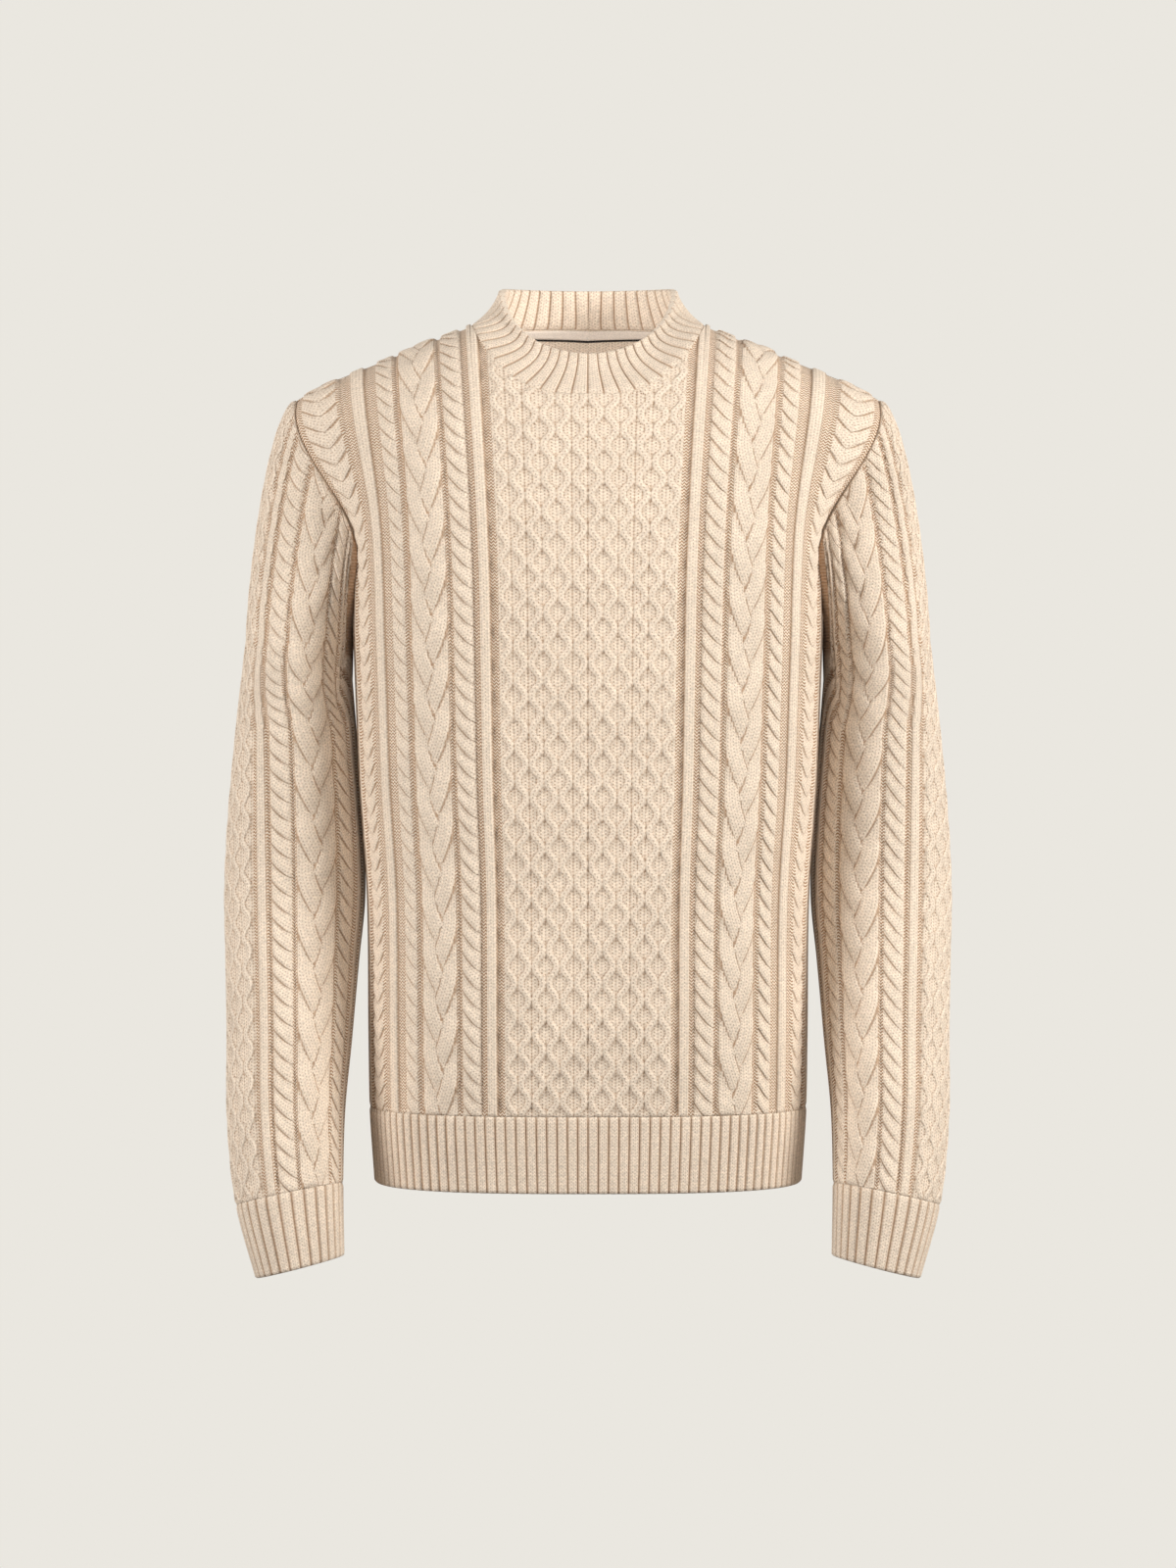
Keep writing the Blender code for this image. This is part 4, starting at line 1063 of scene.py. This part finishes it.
def yarn_material(stitch_tree):
    """Heathered wool, with shade painted between its stitches and in the crevices of the relief."""
    looks = {"Roughness": 0.95, "Specular IOR Level": 0.1, "Sheen Weight": 0.1}
    looks |= {"Sheen Roughness": 0.6, "Sheen Tint": (1.0, 0.93, 0.85, 1)}
    material, make, shader = new_material("yarn", looks)
    place = make.add("ShaderNodeTexCoord").outputs["Object"]
    purl, stands = make.split(make.uv("mask"))
    distance, dotted = make.split(make.uv("edge"))
    # The yarn isn't spun or drawn up quite evenly, so each stitch sits a little off its place.
    wander = make.noise(place, 260.0, output=1)
    shake = (wander, (STITCH_SHAKE, STITCH_SHAKE, 0.0), make.uv("stitch"))
    shaken = make.add("ShaderNodeVectorMath", shake, operation="MULTIPLY_ADD").outputs[0]
    group = make.add("ShaderNodeGroup", node_tree=stitch_tree)
    make.put(group.inputs["Wale and course"], shaken)
    make.put(group.inputs["Purl"], purl)
    height = group.outputs["Height"]
    fibre = make.noise(place, 1500.0, 3.0, 0.7)
    heather = make.noise(place, 520.0, 2.0, 0.6)
    uneven = make.noise(place, 28.0, 3.0, 0.5)
    # Crease is low near a strand's edge: it paints shade there and dents the bump. Where a strand is
    # dotted, the painted shade breaks into dots between the stitches.
    crease = make.ramp(make.math("ABSOLUTE", distance), *SHADE_REACH)
    painted_crease_shade = make.linear(height, make.product(dotted, 0.7), crease, clamp=True)
    # Painted shade in the hollows of the relief, by how far each point stands out.
    painted_hollow_shade = make.linear(make.ramp(stands, 0.1, 0.5), 0.22, 0.78)
    lit = make.product(painted_hollow_shade, make.linear(painted_crease_shade, 0.68, 0.32))
    # Painted shade between the stitches: knit and purl are darker where their yarn lies low.
    knit_tone = make.linear(height, 0.5, 0.52)
    purl_tone = make.linear(make.ramp(height, 0.2, 0.7), 0.9, 0.15)
    # How far the yarn's own colour shows through all the painted shade.
    shown = make.product(lit, make.mix(purl, knit_tone, purl_tone))
    colour = make.mix(shown, YARN_PAINTED_SHADE, YARN_LIGHT, "RGBA")
    fleck = make.ramp(heather, 0.3, 0.7, 0.86, 1.08)
    cloud = make.ramp(uneven, 0.25, 0.75, 0.96, 1.03)
    fuzz = make.ramp(fibre, 0.25, 0.75, 0.94, 1.05)
    tone = make.product(make.product(fleck, cloud), fuzz)
    make.put(shader.inputs["Base Color"], make.scaled(colour, tone))
    dent = make.add("ShaderNodeBump")
    fluffy = make.linear(fibre, 0.35, height)
    inputs = {"Strength": 0.75, "Distance": YARN_BUMP, "Height": make.linear(crease, 1.5, fluffy)}
    for key, value in inputs.items():
        make.put(dent.inputs[key], value)
    make.put(shader.inputs["Normal"], dent.outputs[0])
    return material


def tape_material(name, colour):
    material, make, shader = new_material(name, {"Roughness": 0.85})
    place = make.add("ShaderNodeTexCoord").outputs["Object"]
    tone = make.ramp(make.noise(place, 900.0), 0.3, 0.7, 0.9, 1.08)
    make.put(shader.inputs["Base Color"], make.scaled(colour, tone))
    return material


def stage_floor():
    """A seamless backdrop behind and under the garment, which lights nothing."""
    front, back, radius, reach = -6.0, 4.5, 0.7, 8.0
    turns = np.linspace(0, np.pi / 2, 17)[1:]
    profile = [(front, 0.0), (back, 0.0)]
    profile += [(back + radius * np.sin(a), radius - radius * np.cos(a)) for a in turns]
    profile += [(back + radius, reach)]
    points = [(x, y, z + FLOOR) for y, z in profile for x in (-reach, reach)]
    faces = [(2 * n, 2 * n + 1, 2 * n + 3, 2 * n + 2) for n in range(len(profile) - 1)]
    mesh = bpy.data.meshes.new("backdrop")
    mesh.from_pydata(points, [], faces)
    mesh.shade_smooth()
    backdrop = bpy.data.objects.new("backdrop", mesh)
    bpy.context.scene.collection.objects.link(backdrop)
    looks = {"Base Color": (0.0, 0.0, 0.0, 1), "Roughness": 1.0, "Specular IOR Level": 0.0}
    looks |= {"Emission Color": BACKDROP_COLOUR, "Emission Strength": 1.0}
    mesh.materials.append(new_material("backdrop", looks)[0])
    backdrop.visible_diffuse = False
    backdrop.visible_glossy = False
    return backdrop


def set_stage():
    stage_floor()
    scene = bpy.context.scene
    world = bpy.data.worlds.new("room")
    world.use_nodes = True
    background = world.node_tree.nodes["Background"]
    background.inputs[0].default_value = ROOM_COLOUR
    background.inputs[1].default_value = ROOM_STRENGTH
    scene.world = world
    for name, place, aim, size, power, colour in LIGHTS:
        data = bpy.data.lights.new(name, "AREA")
        data.size = size
        data.energy = power
        data.color = colour
        light = bpy.data.objects.new(name, data)
        light.location = place
        light.rotation_euler = (Vector(aim) - Vector(place)).to_track_quat("-Z", "Y").to_euler()
        light.visible_camera = False
        scene.collection.objects.link(light)
    data = bpy.data.cameras.new("camera")
    data.lens = LENS
    data.sensor_width = SENSOR
    camera = bpy.data.objects.new("camera", data)
    camera.location = CAMERA
    camera.rotation_euler = (np.pi / 2, 0, 0)
    scene.collection.objects.link(camera)
    scene.camera = camera
    scene.render.resolution_x = 1200
    scene.render.resolution_y = 1600
    scene.view_settings.view_transform = "Standard"
    scene.view_settings.look = "None"


def main():
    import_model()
    pieces = {"front_panel": panel("front_panel_knit", -1)}
    pieces["back_panel"] = panel("back_panel_knit", 1)
    pieces["hem_rib"] = hem()
    edges = {side: panel_edges(side) for side in (-1, 1)}
    for name, hand in (("left", 1), ("right", -1)):
        front_arm, back_arm = ("right arm", "left arm") if hand > 0 else ("left arm", "right arm")
        seams = [
            Seam(*edges[-1][front_arm], turned=hand < 0, hinged=True),
            Seam(*edges[1][back_arm], turned=hand > 0, hinged=True),
        ]
        pieces["sleeve_" + name] = sleeve("sleeve_" + name + "_knit", hand, seams)
        pieces["cuff_" + name] = cuff("cuff_" + name + "_knit", hand)
    pieces["neckband"] = neckband([Seam(*edges[side]["neck"]) for side in (-1, 1)])
    yarn = yarn_material(stitch_group())
    for obj in pieces.values():
        obj.data.materials.append(yarn)
    for node, (top, bottom), colour in TAPES:
        pieces[node] = tape(node + "_cloth", top * MM, bottom * MM)
        pieces[node].data.materials.append(tape_material(node.replace("_", " "), colour))
    for node, obj in pieces.items():
        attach(obj, "root")
        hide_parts(node)
    set_stage()


main()
